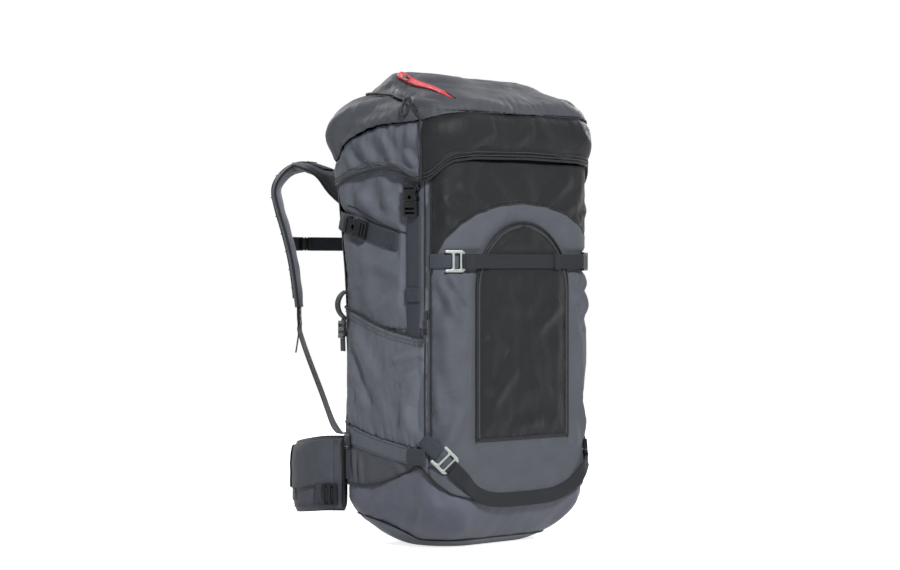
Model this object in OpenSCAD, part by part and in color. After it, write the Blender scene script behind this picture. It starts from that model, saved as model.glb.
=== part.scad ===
/* [Body] */
// Width of the pack body across the back
body_w = 300; // [280:5:330]
// Distance from the pack axis to the front panel
front_d = 112; // [104:1:124]
// Distance from the pack axis to the back panel just above the base
back_low_d = 104; // [98:1:110]
// Distance from the pack axis to the back panel at its top edge
back_high_d = 120; // [114:1:126]
// Radius of the upright corners of the body
corner_r = 45; // [40:1:50]
// Thickness of the padded body fabric
wall = 3; // [2:0.5:4]
// Height of the base, from which the pockets, pads and belt are placed
base_h = 80; // [74:1:90]
// Height of the top edge of the body panels
body_h = 530; // [510:5:550]
// Height over which the base rounds in to its foot
base_round_h = 64; // [54:1:67]
// How far the seam to the body panels lies above that rounding
base_seam_rise = 2; // [1:0.5:6]
// How far the foot is set in at the front and sides
foot_inset = 60; // [50:1:64]
// How far the foot is set in at the back
foot_back_inset = 58; // [48:1:62]
// How much wider the foot's corners are rounded than the body's
foot_corner_grow = 3; // [0:0.5:4]
// Fullness of the base's rounding, from 1, straight, to 2, a quarter ellipse
base_fullness = 1.4; // [1.2:0.1:2]
// Height of the collar that stands above the body panels
collar_h = 45; // [30:1:50]
// Depth of the collar's hem inside the body panels
collar_hem = 20; // [10:1:30]

/* [Lid] */
// How far the lid's hem hangs below the top edge of the body
lid_drop = 25; // [20:1:32]
// How far the lid stands out from the body at its hem
lid_over = 9; // [8:0.5:12]
// Thickness of the lid fabric
lid_wall = 3; // [2:0.5:4]
// Corner radius of the lid at its hem
lid_corner_r = 58; // [54:1:62]
// Width of the lid zip tape
lid_zip_w = 7; // [6:0.5:10]
// Thickness of the padded floor of the lid pocket
lid_lining_t = 3; // [2:0.5:5]

/* [Straps] */
// Width of the wide webbing
web_w = 25; // [20:1:28]
// Width of the narrow webbing
narrow_w = 20; // [16:1:22]
// Thickness of the webbing
web_t = 1.6; // [1.2:0.1:2]
// Distance of the lid strap in front of the pack axis
lid_strap_y = 54; // [46:1:54]
// Distance of the lid buckle's mouth below the lid's hem
lid_buckle_drop = 34; // [31:1:39]
// Height of the lower end of the lid webbing
lid_web_low_z = 290; // [280:1:310]
// Height of the middle of the compression buckle
comp_z = 436; // [420:1:440]
// Distance of the compression buckle's mouth behind the pack axis
comp_y = 54; // [46:1:56]
// Slope of the compression strap below level
comp_slope = 14.6; // [10:0.2:18]
// Length of the compression webbing
comp_web_len = 74; // [66:1:84]

/* [Buckles] */
// Thickness of a side release buckle
buckle_t = 9; // [8:0.5:11]
// Length of a buckle's socket
socket_len = 20; // [18:1:24]
// Length of a buckle's plug body
plug_len = 20; // [17:1:24]
// How far the plug's prongs reach past the plug body
prong_len = 11; // [9:0.5:13]
// Wall of a buckle's socket
socket_wall = 1.8; // [1.4:0.1:2.2]
// Running clearance of a moving piece from what it lies on
run_gap = 0.5; // [0.4:0.1:0.8]

/* [Board Straps] */
// Height of the upper board hook
upper_hook_z = 390; // [370:1:410]
// Place of the upper hook around the front corner, from the side
upper_hook_a = 62; // [58:1:66]
// Height of the lower board hook
lower_hook_z = 124; // [116:1:130]
// Place of the lower hook around the front corner, from the side
lower_hook_a = 46; // [43:1:50]
// Length of a metal board hook
hook_len = 28; // [26:1:32]
// Height of a metal board hook
hook_h = 30; // [26:1:32]
// Thickness of a metal board hook
hook_t = 2.6; // [2:0.2:3.2]
// Radius of a hook's bar
hook_bar_r = 1.8; // [1.4:0.1:2.2]

/* [Front and Sides] */
// Half width of the arched front pocket
front_pocket_hw = 88; // [78:1:96]
// Thickness of the front pocket
front_pocket_t = 6; // [4:0.5:6]
// Height of the front pocket's lower edge
front_pocket_low_z = 150; // [140:1:170]
// Height where the front pocket's arch starts
front_pocket_arch_z = 350; // [320:5:370]
// Thickness of a side pocket
side_pocket_t = 4; // [3.2:0.2:5]
// Width of the sewn edge of a side pocket
side_pocket_hem = 5; // [4:0.5:8]
// Thickness of the coarse lower side band
band_t = 1.6; // [1:0.2:2.4]
// Width of a side zip
zip_w = 7; // [6:0.5:8]
// Thickness of a side zip
zip_t = 1.4; // [1:0.1:2]
// Height of the lower end of a side zip
zip_low_z = 140; // [130:1:160]
// Distance of the upper end of a side zip below the lid's hem
zip_drop = 11; // [7:1:25]
// Height of a side zip's slider
zip_slider_z = 318; // [290:1:340]

/* [Harness] */
// Width of a shoulder strap
strap_w = 62; // [50:1:66]
// Thickness of a shoulder strap
strap_t = 13; // [10:0.5:15]
// Distance of a shoulder strap's anchor from the middle
strap_x = 75; // [68:1:80]
// Distance of a shoulder strap's anchor below the top edge of the body
strap_drop = 62; // [58:1:68]
// How far a shoulder strap stands out behind the back
strap_reach = 161; // [150:1:168]
// Thickness of the back pads
back_pad_t = 12; // [8:1:16]
// Width of each back pad
back_pad_w = 84; // [70:1:88]
// Height of each back pad
back_pad_h = 290; // [240:5:300]
// Height of the lower edge of the back pads
back_pad_z = 158; // [154:1:165]
// Thickness of the lumbar pad
lumbar_t = 18; // [12:1:24]
// Width of the lumbar pad
lumbar_w = 196; // [160:2:205]
// Height of the lumbar pad
lumbar_h = 66; // [50:1:68]
// Thickness of a hip fin at its root
fin_root_t = 9; // [7:0.5:11]
// Thickness of a hip fin in its middle
fin_t = 13; // [10:0.5:15]
// Radius of the haul loop
haul_r = 27; // [22:1:29]
// Thickness of the frame sheet
frame_t = 2; // [1.5:0.1:3]
// Width of the frame sheet
frame_w = 200; // [180:2:206]
// Width of a frame stay
stay_w = 12; // [10:1:16]
// Thickness of a frame stay
stay_t = 3; // [2:0.5:4]

/* [Hidden] */
$fn = 32;

// Gap between a sewn-on piece and the fabric under it
seat = 0.1;
// Facets of a quarter turn
corner_steps = 6;
ring_points = 4 * (corner_steps + 1);
// Places round a body ring where the panels are sewn together
back_right_seam = 2;
back_left_seam = 11;
front_left_seam = 15;
front_right_seam = 26;
zip_a = 15;

fabric_grey = "#5d6067";
dark_grey = "#3d3f45";
web_grey = "#4a4d57";
buckle_black = "#1d1e20";
hook_silver = "#c3c9c6";
zip_red = "#d23a48";

half_w = body_w / 2;
lid_hem_z = body_h - lid_drop;
lid_buckle_z = lid_hem_z - lid_buckle_drop;
zip_high_z = lid_hem_z - zip_drop;
strap_z = body_h - strap_drop;
taper = atan((back_high_d - back_low_d) / (body_h - base_h));
corner_c = [corner_r - half_w, corner_r - front_d, 0];
lid_hw = half_w + lid_over;
lid_f = front_d + lid_over;
lid_b = back_high_d + lid_over;
// Height above the hem and step out from the hem of each ring of the lid
lid_profile = [[0, 0], [30, 1], [57, 7], [87, 0], [106, -17], [121, -41], [141, -61], [147, -78]];
lid_skirt_top = 1;
lid_hood_top = 4;
lid_last = len(lid_profile) - 1;

// How far round the front corner the sewn board tabs reach
tab_from_a = 25;
tab_overlap_a = 10;
hook_out = web_t + run_gap + 4 * seat;
hook_bar_x = hook_len / 2 - hook_bar_r;
hook_loop_r = hook_bar_r + run_gap;
lower_hook_tilt = 45;
lock_len = 22;
lock_t = hook_out + hook_t / 2 + hook_loop_r - web_t - 2 * seat;

// Route of the left shoulder strap: sideways from its anchor, share of its reach, rise from its anchor
strap_route = [
    [0, 0.271, 19], [0, 0.452, 43], [-1, 0.658, 55], [-3, 0.813, 59], [-14, 0.923, 52],
    [-24, 0.981, 38], [-27, 1, 22], [-24, 0.974, -3], [-17, 0.929, -38], [-11, 0.89, -75],
    [-7, 0.865, -113], [-5, 0.852, -144]
];
strap_turn = [0, 5, 15, 25, 40, 45, 45, 45, 45, 45, 45, 45];
strap_lock_drop = 12;
// Route of the webbing below it: sideways and height from the strap's end, share of the way to the pack
shoulder_web_route = [
    [0.4, 0.007, -24], [0, 0.014, -36], [-8, 0.183, -68], [-24, 0.507, -119], [-40, 0.774, -156]
];
shoulder_web_end_a = 58;
shoulder_web_end_z = 152;
shoulder_web_lead = 12;
// Fall of the route as drawn; it stretches with the strap's end
shoulder_web_fall = 172;
sternum_drop = 52;
sternum_z = strap_z - sternum_drop;
sternum_mouth_x = -30;

// The hip fin turns about its sewn root, at this angle round the back corner
fin_a = 48;
belt_rise = 3;
belt_z = base_h + belt_rise;
fin_axis_rise = 13;
fin_seat_rise = 22;
// Route of the left hip fin, with its height above the belt
fin_line = [[-148, 124, 12], [-152, 150, 9], [-146, 180, 5], [-130, 203, 2], [-108, 216, 0]];
fin_route = [for (p = fin_line) p + [0, 0, belt_z]];
fin_heights = [102, 102, 102, 102, 100, 98, 95, 88];
fin_axis_r = corner_r + fin_root_t / 2 + 5 * seat;
hip_buckle_x = 14;
hip_end_x = -hip_buckle_x - max(socket_len, plug_len + run_gap) - 3 * seat;
hip_end = [hip_end_x, 233, belt_z];
hip_web_route = concat([for (p = [[-106, 216.5], [-80, 226], [-52, 232]]) [p.x, p.y, belt_z]], [hip_end]);

// Shared shapes

function unit(v) = v / norm(v);
function lerp(a, b, s) = a + (b - a) * s;
function reverse(list) = [for (i = [len(list) - 1 : -1 : 0]) list[i]];
function flat(lists) = [for (list = lists) each list];
function flip_x(p) = [-p.x, p.y, p.z];

// Distance from the axis to the back panel at height z
function back_d(z) = lerp(back_low_d, back_high_d, (z - base_h) / (body_h - base_h));

// Ring of points round a rounded rectangle, counter-clockwise from its right side
function arc(c, r, from) =
    [for (j = [0 : corner_steps]) let (a = from + 90 * j / corner_steps) c + r * [cos(a), sin(a)]];
function ring2d(a, f, b, r) = concat(
    arc([a - r, b - r], r, 0), arc([r - a, b - r], r, 90),
    arc([r - a, r - f], r, 180), arc([a - r, r - f], r, 270));
function at_z(ring, z) = [for (p = ring) [p.x, p.y, z]];
function body_ring(z, inset) =
    at_z(ring2d(half_w - inset, front_d - inset, back_d(z) - inset, corner_r - inset), z);

// Triangles over a grid of points; the columns always close on themselves
function grid_faces(rows, cols, close_rows) = [
    for (r = [0 : rows - (close_rows ? 1 : 2)], c = [0 : cols - 1])
        let (r2 = (r + 1) % rows, c2 = (c + 1) % cols,
             p = r * cols + c, q = r * cols + c2, s = r2 * cols + c2, t = r2 * cols + c)
        each [[p, t, s], [p, s, q]]
];

// Closed solid through a list of rings, with flat ends
module stack(rings) {
    rows = len(rings);
    cols = len(rings[0]);
    first = [for (c = [0 : cols - 1]) c];
    last = [for (c = [cols - 1 : -1 : 0]) (rows - 1) * cols + c];
    polyhedron(flat(rings), concat(grid_faces(rows, cols, false), [first, last]));
}

// Closed hoop through a list of rings, the last joined to the first
module hoop(rings) {
    polyhedron(flat(rings), grid_faces(len(rings), len(rings[0]), true));
}

// Wall of the body between two seams, in upright slices from one seam to the other
base_seam_z = base_round_h + base_seam_rise;
panel_edges = [body_ring(base_seam_z, 0), body_ring(base_seam_z, wall),
               body_ring(body_h, wall), body_ring(body_h, 0)];
module body_panel(from, to) {
    stack([for (k = [from : to]) [for (edge = panel_edges) edge[k % ring_points]]]);
}

// Sweep of a section along a route: side gives the way the width lies at each point
function tangent(pts, i) = unit(pts[min(i + 1, len(pts) - 1)] - pts[max(i - 1, 0)]);
function sweep_ring(pts, i, side, section, w, t) =
    let (d = tangent(pts, i), a = unit(side - d * (d * side)), b = cross(d, a))
    [for (s = section) pts[i] + s.x * w / 2 * a + s.y * t / 2 * b];
flat_section = [[-1, -1], [1, -1], [1, 1], [-1, 1]];
pad_sides = 12;
function soft(v, power) = sign(v) * pow(abs(v), power);
pad_section = [
    for (k = [0 : pad_sides - 1])
        let (a = 360 * k / pad_sides) [soft(cos(a), 0.5), soft(sin(a), 0.8)]
];
module ribbon(pts, sides, w, t = web_t) {
    stack([for (i = [0 : len(pts) - 1]) sweep_ring(pts, i, sides[i], flat_section, w, t)]);
}

// Crowned pad on the plane y = 0, swelling along +y, its lower edge at z = 0
pad_steps = 8;
pad_edge = 0.3;
pad_draw = 0.04;
function crown(u, v, t) = t * (pad_edge + (1 - pad_edge) * (1 - pow(u, 4)) * (1 - pow(v, 4)));
function pad_ring(w, h, t, v) =
    let (hw = w / 2 * (1 - pad_draw * (1 - pow(v, 4))), z = h * (v + 1) / 2)
    concat([[-hw, 0, z], [hw, 0, z]],
           [for (k = [0 : pad_steps]) let (u = 1 - 2 * k / pad_steps) [u * hw, crown(u, v, t), z]]);
module pad(w, h, t) {
    stack([for (k = [0 : pad_steps + 4]) pad_ring(w, h, t, -1 + 2 * k / (pad_steps + 4))]);
}

// Places on the body: outward is local -y, up is local +z
module on_left_side(y, z, out = 0) translate([-half_w - out, y, z]) rotate([0, 0, -90]) children();
module on_front_corner(a, z, out = 0) {
    translate(corner_c + (corner_r + out) * corner_dir(a) + [0, 0, z]) rotate([0, 0, a - 90]) children();
}
module on_back_corner(a, z, out = 0) {
    translate(back_corner(a, z, out)) rotate([0, 0, -90 - a]) children();
}
module on_back(z, out = 0) translate([0, back_d(z) + out, z]) rotate([-taper, 0, 0]) children();
module both_sides() {
    children();
    mirror([1, 0, 0]) children();
}
function corner_dir(a) = [-cos(a), -sin(a), 0];
function corner_tan(a) = [sin(a), -cos(a), 0];
function back_corner(a, z, out) =
    [corner_r - half_w - (corner_r + out) * cos(a), back_d(z) - corner_r + (corner_r + out) * sin(a), z];

// Socket of a side release buckle: mouth at z = 0, lying on y = 0, outward along -y
prong_room = 2;
prong_w = 4;
prong_t = 3;
prong_side_gap = 3;
module socket(w) {
    inside = w - 2 * socket_wall;
    difference() {
        translate([-w / 2, -buckle_t, 0]) cube([w, buckle_t, socket_len]);
        translate([-inside / 2, socket_wall - buckle_t, -1])
            cube([inside, buckle_t - 2 * socket_wall, prong_len + prong_room + 1]);
        translate([-w / 2 - 1, socket_wall - buckle_t, socket_wall * 2])
            cube([w + 2, buckle_t - 2 * socket_wall, prong_len - socket_wall]);
    }
}

// Plug that fits the socket and rides on webbing of its width
module plug(w) {
    under = web_t + run_gap;
    prong_x = w / 2 - socket_wall - prong_side_gap - prong_w / 2;
    slot_h = plug_len / 7;
    difference() {
        translate([-w / 2, -buckle_t, -plug_len - run_gap]) cube([w, buckle_t - under, plug_len]);
        for (k = [0, 1])
            translate([-w / 2 + 3, -buckle_t - 1, -plug_len - run_gap + slot_h * (1 + 2 * k)])
                cube([w - 6, buckle_t + 2, slot_h]);
    }
    for (s = [-1, 1])
        translate([s * prong_x - prong_w / 2, -buckle_t / 2 - prong_t / 2, -run_gap - 1])
            cube([prong_w, prong_t, prong_len + 1]);
}

// Ladder-lock for webbing, centred, lying on y = 0
lock_rail = 3;
lock_plate_t = 4;
module ladder_lock(w, t = lock_plate_t) {
    slot_h = lock_len / 5;
    difference() {
        translate([-w / 2 - lock_rail, -t, -lock_len / 2]) cube([w + 2 * lock_rail, t, lock_len]);
        for (k = [-1, 1])
            translate([-w / 2, -t - 1, k * slot_h - slot_h / 2]) cube([w, t + 2, slot_h]);
    }
}

// Open-fronted metal hook, its bar at +x, its inner face on y = 0
hook_rim_share = 0.15;
hook_gap_share = 0.27;
hook_bay_share = 0.28;
hook_web_share = 0.1;
module hook() {
    rim = hook_h * hook_rim_share;
    gap_h = hook_h * hook_gap_share;
    horn_w = hook_len * hook_rim_share;
    difference() {
        translate([-hook_len / 2, -hook_t, -hook_h / 2]) cube([hook_len - hook_bar_r, hook_t, hook_h]);
        translate([horn_w - hook_len / 2, -hook_t - 1, rim - hook_h / 2])
            cube([hook_len * hook_bay_share, hook_t + 2, hook_h - 2 * rim]);
        translate([-hook_len / 2 - 1, -hook_t - 1, -gap_h / 2]) cube([horn_w + 2, hook_t + 2, gap_h]);
        translate([hook_len * hook_web_share, -hook_t - 1, rim - hook_h / 2])
            cube([hook_len, hook_t + 2, hook_h - 2 * rim]);
    }
    translate([hook_bar_x, -hook_t / 2, -hook_h / 2]) cylinder(r = hook_bar_r, h = hook_h);
}

// Zip slider with its pull loop, running on y = 0
slider_w = 9;
slider_len = 11;
slider_t = 3;
pull_len = 24;
module zip_slider() {
    translate([-slider_w / 2, -slider_t, -slider_len / 2]) cube([slider_w, slider_t, slider_len]);
    difference() {
        translate([-slider_w / 3, -slider_t, -slider_len / 2 - pull_len])
            cube([slider_w * 2 / 3, slider_t / 2, pull_len]);
        translate([-slider_w / 6, -slider_t - 1, -slider_len / 2 - pull_len + slider_w / 6])
            cube([slider_w / 3, slider_t + 2, pull_len - slider_w / 3]);
    }
}

// Body of the pack

function base_inset(z) =
    z >= base_round_h ? 0 : 1 - pow(1 - pow(1 - z / base_round_h, base_fullness), 1 / base_fullness);
function base_ring(z, inset, lift) =
    let (k = base_inset(z))
    at_z(ring2d(half_w - foot_inset * k - inset, front_d - foot_inset * k - inset,
                back_d(base_seam_z) - foot_back_inset * k - inset,
                corner_r + foot_corner_grow * k - inset), z + lift);
base_levels = concat([for (s = [0, 0.08, 0.2, 0.4, 0.65, 1]) s * base_round_h], [base_seam_z]);
module base_panel() {
    color("#54565f") stack(concat(
        [for (z = base_levels) base_ring(z, 0, 0)],
        [for (z = reverse(base_levels)) base_ring(z, wall, wall * (1 - z / base_seam_z))]));
}
module left_side_panel() color(fabric_grey) body_panel(back_left_seam, front_left_seam);
module right_side_panel() color(fabric_grey) body_panel(front_right_seam, back_right_seam + ring_points);
module front_panel() color(dark_grey) body_panel(front_left_seam, front_right_seam);
module back_panel() color(dark_grey) body_panel(back_right_seam, back_left_seam);
module collar() {
    low = body_h - collar_hem;
    high = body_h + collar_h;
    inset = wall + 2 * seat;
    color(dark_grey) hoop([body_ring(low, inset), body_ring(body_h, inset), body_ring(high, inset + lid_over),
                           body_ring(high, inset + lid_over + wall), body_ring(body_h, inset + wall),
                           body_ring(low, inset + wall)]);
}

frame_low_gap = 25;
frame_top_gap = 10;
stay_gap = 5;
stay_place = 0.3;
frame_low_z = base_h + frame_low_gap;
frame_h = body_h - collar_hem - frame_low_z - frame_top_gap;
module frame_sheet() {
    color("#2b2d30") on_back(frame_low_z, -wall - 2 * seat)
        translate([-frame_w / 2, -frame_t, 0]) cube([frame_w, frame_t, frame_h]);
}
module frame_stays() {
    color("silver") both_sides() on_back(frame_low_z, -wall - frame_t - 3 * seat)
        translate([frame_w * stay_place, -stay_t, stay_gap]) cube([stay_w, stay_t, frame_h - 2 * stay_gap]);
}
pad_channel = 28;
lumbar_gap = 6;
module back_pads() {
    color("#3a3c42") both_sides() on_back(back_pad_z, seat)
        translate([(back_pad_w + pad_channel) / 2, 0, 0]) pad(back_pad_w, back_pad_h, back_pad_t);
}
module lumbar_pad() {
    color("#3a3c42") on_back(base_h + lumbar_gap, seat) pad(lumbar_w, lumbar_h, lumbar_t);
}
haul_rise = 4;
module haul_loop() {
    low = strap_z + haul_rise;
    color(web_grey) translate([0, back_d(low + narrow_w) + seat, low]) linear_extrude(narrow_w)
        intersection() {
            difference() {
                circle(haul_r);
                circle(haul_r - web_t);
            }
            translate([-haul_r, 0]) square([2 * haul_r, haul_r]);
        }
}
module front_pocket() {
    color(dark_grey) translate([0, -front_d - seat, 0]) rotate([90, 0, 0]) linear_extrude(front_pocket_t) {
        translate([-front_pocket_hw, front_pocket_low_z])
            square([2 * front_pocket_hw, front_pocket_arch_z - front_pocket_low_z]);
        translate([0, front_pocket_arch_z]) circle(front_pocket_hw);
    }
}

// Side zips and pockets

module left_side_zip() {
    color("#222327") on_front_corner(zip_a, zip_low_z, seat)
        translate([-zip_w / 2, -zip_t, 0]) cube([zip_w, zip_t, zip_high_z - zip_low_z]);
}
module right_side_zip() mirror([1, 0, 0]) left_side_zip();
module left_side_zip_slider() {
    color(buckle_black) on_front_corner(zip_a, zip_slider_z, seat + zip_t + run_gap) zip_slider();
}
module right_side_zip_slider() mirror([1, 0, 0]) left_side_zip_slider();

// Corners of the side pocket, as distance in front of the axis and height
pocket_front = front_d - corner_r - seat;
pocket_back = back_low_d - corner_r - seat;
pocket_top_back_z = 319;
pocket_top_front_z = 287;
pocket_low_back_z = 164;
pocket_low_front_z = 140;
pocket_outline = [
    [-pocket_back, pocket_low_back_z], [pocket_front, pocket_low_front_z],
    [pocket_front, pocket_top_front_z], [-pocket_back, pocket_top_back_z]
];
module left_side_pocket() {
    hem = side_pocket_hem;
    color("#55575d") on_left_side(0, 0, seat) rotate([90, 0, 0]) difference() {
        linear_extrude(side_pocket_t) polygon(pocket_outline);
        translate([0, 0, -1]) linear_extrude(side_pocket_t / 2 + 1) polygon([
            [hem - pocket_back, pocket_low_back_z + hem], [pocket_front - hem, pocket_low_front_z + hem],
            [pocket_front - hem, pocket_top_front_z + hem], [hem - pocket_back, pocket_top_back_z + hem]]);
    }
}
module right_side_pocket() mirror([1, 0, 0]) left_side_pocket();
module lower_bands() {
    color("#565c63") both_sides() on_left_side(0, 0, seat) rotate([90, 0, 0]) linear_extrude(band_t)
        polygon([[-pocket_back, base_h], [pocket_front, base_h],
                 [pocket_front, pocket_low_front_z - seat], [-pocket_back, pocket_low_back_z - seat]]);
}

// Lid straps and compression straps

lid_web_high_z = lid_buckle_z - run_gap - seat;
module left_lid_webbing() {
    color(web_grey) on_left_side(-lid_strap_y, lid_web_low_z, seat)
        translate([-web_w / 2, -web_t, 0]) cube([web_w, web_t, lid_web_high_z - lid_web_low_z]);
}
module right_lid_webbing() mirror([1, 0, 0]) left_lid_webbing();
module left_lid_plug() color(buckle_black) on_left_side(-lid_strap_y, lid_buckle_z, seat) plug(web_w);
module right_lid_plug() mirror([1, 0, 0]) left_lid_plug();
module lid_sockets() {
    color(buckle_black) both_sides() on_left_side(-lid_strap_y, lid_buckle_z, run_gap) socket(web_w);
}
lid_tab_rise = 34;
module lid_tabs() {
    low = lid_buckle_z + socket_len;
    color(web_grey) both_sides()
        on_left_side(-lid_strap_y, low, lid_over - lid_wall - web_t - 4 * seat)
            translate([-web_w / 2, -web_t, 0]) cube([web_w, web_t, lid_hem_z + lid_tab_rise - low]);
}

module along_compression() {
    on_left_side(comp_y, comp_z, seat) rotate([0, comp_slope - 90, 0]) children();
}
module left_compression_webbing() {
    color(web_grey) along_compression()
        translate([-web_w / 2, -web_t, -comp_web_len]) cube([web_w, web_t, comp_web_len - run_gap]);
}
module right_compression_webbing() mirror([1, 0, 0]) left_compression_webbing();
module compression_sockets() color(buckle_black) both_sides() along_compression() socket(web_w);
module left_compression_plug() color(buckle_black) along_compression() plug(web_w);
module right_compression_plug() mirror([1, 0, 0]) left_compression_plug();

// Ski loops at the back edges: a bulging loop of webbing over a ladder-lock
ski_loop_z = 330;
ski_loop_a = 24;
ski_loop_r = 22;
ski_loop_sink = 12;
ski_loop_out = 1;
ski_lock_out = 0.3;
module ski_loops() {
    color(buckle_black) both_sides() {
        on_back_corner(ski_loop_a, ski_loop_z, ski_loop_out) rotate([0, 90, 0])
            translate([0, 0, -narrow_w / 2]) linear_extrude(narrow_w) intersection() {
                translate([0, ski_loop_sink]) difference() {
                    circle(ski_loop_r);
                    circle(ski_loop_r - web_t);
                }
                translate([-ski_loop_r, -ski_loop_r]) square([2 * ski_loop_r, ski_loop_r]);
            }
        on_back_corner(ski_loop_a, ski_loop_z - ski_loop_r - lock_len / 2, ski_lock_out)
            ladder_lock(narrow_w);
    }
}

// Board straps across the front

module corner_band(a, z, w) {
    translate(corner_c + [0, 0, z - w / 2]) rotate([0, 0, 180 + tab_from_a])
        rotate_extrude(angle = a - tab_from_a, $fn = 64)
            translate([corner_r + seat, 0]) square([web_t, w]);
}
module board_tabs() {
    color(web_grey) both_sides() {
        corner_band(upper_hook_a - tab_overlap_a, upper_hook_z, narrow_w);
        corner_band(lower_hook_a - tab_overlap_a / 2, lower_hook_z + hook_h / 2, narrow_w);
    }
}
module at_upper_hook() on_front_corner(upper_hook_a, upper_hook_z, hook_out) children();
module at_lower_hook() {
    on_front_corner(lower_hook_a, lower_hook_z, hook_out) rotate([0, lower_hook_tilt, 0]) children();
}
module upper_board_hook() color(hook_silver) at_upper_hook() hook();
module lower_board_hook() color(hook_silver) at_lower_hook() hook();
module board_strap_locks() {
    color(buckle_black) mirror([1, 0, 0]) {
        on_front_corner(upper_hook_a, upper_hook_z, web_t + seat)
            rotate([0, 90, 0]) ladder_lock(narrow_w, lock_t);
        on_front_corner(lower_hook_a, lower_hook_z, web_t + seat)
            rotate([0, 90 + lower_hook_tilt, 0]) ladder_lock(narrow_w, lock_t);
    }
}
module strap_loop() {
    translate([hook_bar_x, -hook_t / 2, -narrow_w / 2]) rotate([0, 0, 90])
        rotate_extrude(angle = 180) translate([hook_loop_r, 0]) square([web_t, narrow_w]);
}
module board_strap_loops() {
    color(web_grey) {
        at_upper_hook() strap_loop();
        at_lower_hook() strap_loop();
    }
}
// Point on the strap line of a hook, a distance along it from the hook's middle
function strap_point(a, z, tilt, x) =
    corner_c + (corner_r + hook_out + hook_t / 2 + hook_loop_r + web_t / 2) * corner_dir(a)
    + x * (cos(tilt) * corner_tan(a) - [0, 0, sin(tilt)]) + [0, 0, z];
strap_lead = 7;
function strap_route_with(a, z, tilt, middle) =
    let (bar = strap_point(a, z, tilt, hook_bar_x), lead = strap_point(a, z, tilt, hook_bar_x + strap_lead))
    concat([bar, lead], middle, [for (p = reverse(middle)) flip_x(p)],
           [flip_x(lead), flip_x(bar), flip_x(strap_point(a, z, tilt, -hook_bar_x / 2))]);
module board_strap(route) color("#2c2e33") ribbon(route, [for (p = route) [0, 0, 1]], narrow_w);
upper_strap_y = -front_d - front_pocket_t - 2 * seat - web_t / 2;
lower_strap_y = -front_d - seat - web_t / 2;
// Places of a strap between its hooks: from the middle, stand-off from the front, drop from the hook
upper_strap_rest = [[-front_pocket_hw - 14, 0.6, 0], [-front_pocket_hw, 0, 0]];
lower_strap_slack = [[34 - half_w, 5, 28], [58 - half_w, 2, 46], [100 - half_w, 0, 57]];
module upper_board_webbing() {
    board_strap(strap_route_with(upper_hook_a, upper_hook_z, 0,
        [for (p = upper_strap_rest) [p[0], upper_strap_y - p[1], upper_hook_z - p[2]]]));
}
module lower_board_webbing() {
    board_strap(strap_route_with(lower_hook_a, lower_hook_z, lower_hook_tilt,
        [for (p = lower_strap_slack) [p[0], lower_strap_y - p[1], lower_hook_z - p[2]]]));
}

// Shoulder straps, sternum strap and hip belt

strap_root_len = 14;
strap_pts = concat([for (y = [0, strap_root_len]) [-strap_x, back_d(strap_z) + 4 * seat + y, strap_z]],
                   [for (p = strap_route)
                       [p.x - strap_x, back_high_d + strap_reach * p.y, strap_z + p.z]]);
strap_sides = concat([[1, 0, 0], [1, 0, 0]], [for (a = strap_turn) [cos(a), sin(a), 0]]);
strap_last = len(strap_pts) - 1;
strap_end = strap_pts[strap_last];
// The last two rings draw in towards the ladder-lock
strap_tip = [0.8, 0.5];
function strap_share(i) = i < strap_last - 1 ? 1 : strap_tip[i - strap_last + 1];
module left_shoulder_strap() {
    color(fabric_grey) stack([for (i = [0 : strap_last])
        sweep_ring(strap_pts, i, strap_sides[i], pad_section, strap_w * strap_share(i), strap_t)]);
}
module right_shoulder_strap() mirror([1, 0, 0]) left_shoulder_strap();
module left_shoulder_webbing() {
    ends = [for (out = [shoulder_web_lead, 4 * seat])
                back_corner(shoulder_web_end_a, shoulder_web_end_z, out)];
    stretch = (strap_end.z - shoulder_web_end_z) / shoulder_web_fall;
    run = [for (p = shoulder_web_route)
               [strap_end.x + p.x, lerp(strap_end.y, ends[0].y, p.y), strap_end.z + p.z * stretch]];
    pts = concat(run, ends);
    side = [sin(shoulder_web_end_a), cos(shoulder_web_end_a), 0];
    color(web_grey) ribbon(pts, [for (p = pts) side], narrow_w);
}
module right_shoulder_webbing() mirror([1, 0, 0]) left_shoulder_webbing();
module shoulder_locks() {
    color(buckle_black) both_sides() translate(strap_end - [0, 0, strap_lock_drop])
        rotate([0, 0, strap_turn[len(strap_turn) - 1]])
            translate([0, lock_plate_t / 2, 0]) ladder_lock(narrow_w);
}

// The chest strap meets the inner edges of the shoulder straps at its own height
strap_fall = [for (i = [strap_last - 5 : strap_last]) strap_pts[i]];
sternum_low = sternum_z - narrow_w / 2;
strap_edge = strap_w / 2 * sin(45);
sternum_end_x = -lookup(sternum_low, [for (p = strap_fall) [p.z, p.x]]) - strap_edge - 3 * seat;
sternum_y = lookup(sternum_z, [for (p = strap_fall) [p.z, p.y]]) + strap_edge - web_t / 2;

// Places on the chest and hip belts: outward is +y, the socket's mouth faces +x
module on_belt(x, y, z) translate([x, y, z]) rotate([0, 0, 180]) rotate([0, 90, 0]) children();
module sternum_socket() {
    color(buckle_black) on_belt(sternum_mouth_x, sternum_y, sternum_z) socket(narrow_w);
    color(web_grey) translate([-sternum_end_x, sternum_y, sternum_z - narrow_w / 2])
        cube([sternum_end_x + sternum_mouth_x - socket_len, web_t, narrow_w]);
}
module sternum_webbing() {
    color(web_grey) translate([sternum_mouth_x + run_gap, sternum_y, sternum_z - narrow_w / 2])
        cube([sternum_end_x - sternum_mouth_x - run_gap, web_t, narrow_w]);
}
module sternum_plug() color(buckle_black) on_belt(sternum_mouth_x, sternum_y, sternum_z) plug(narrow_w);

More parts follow.
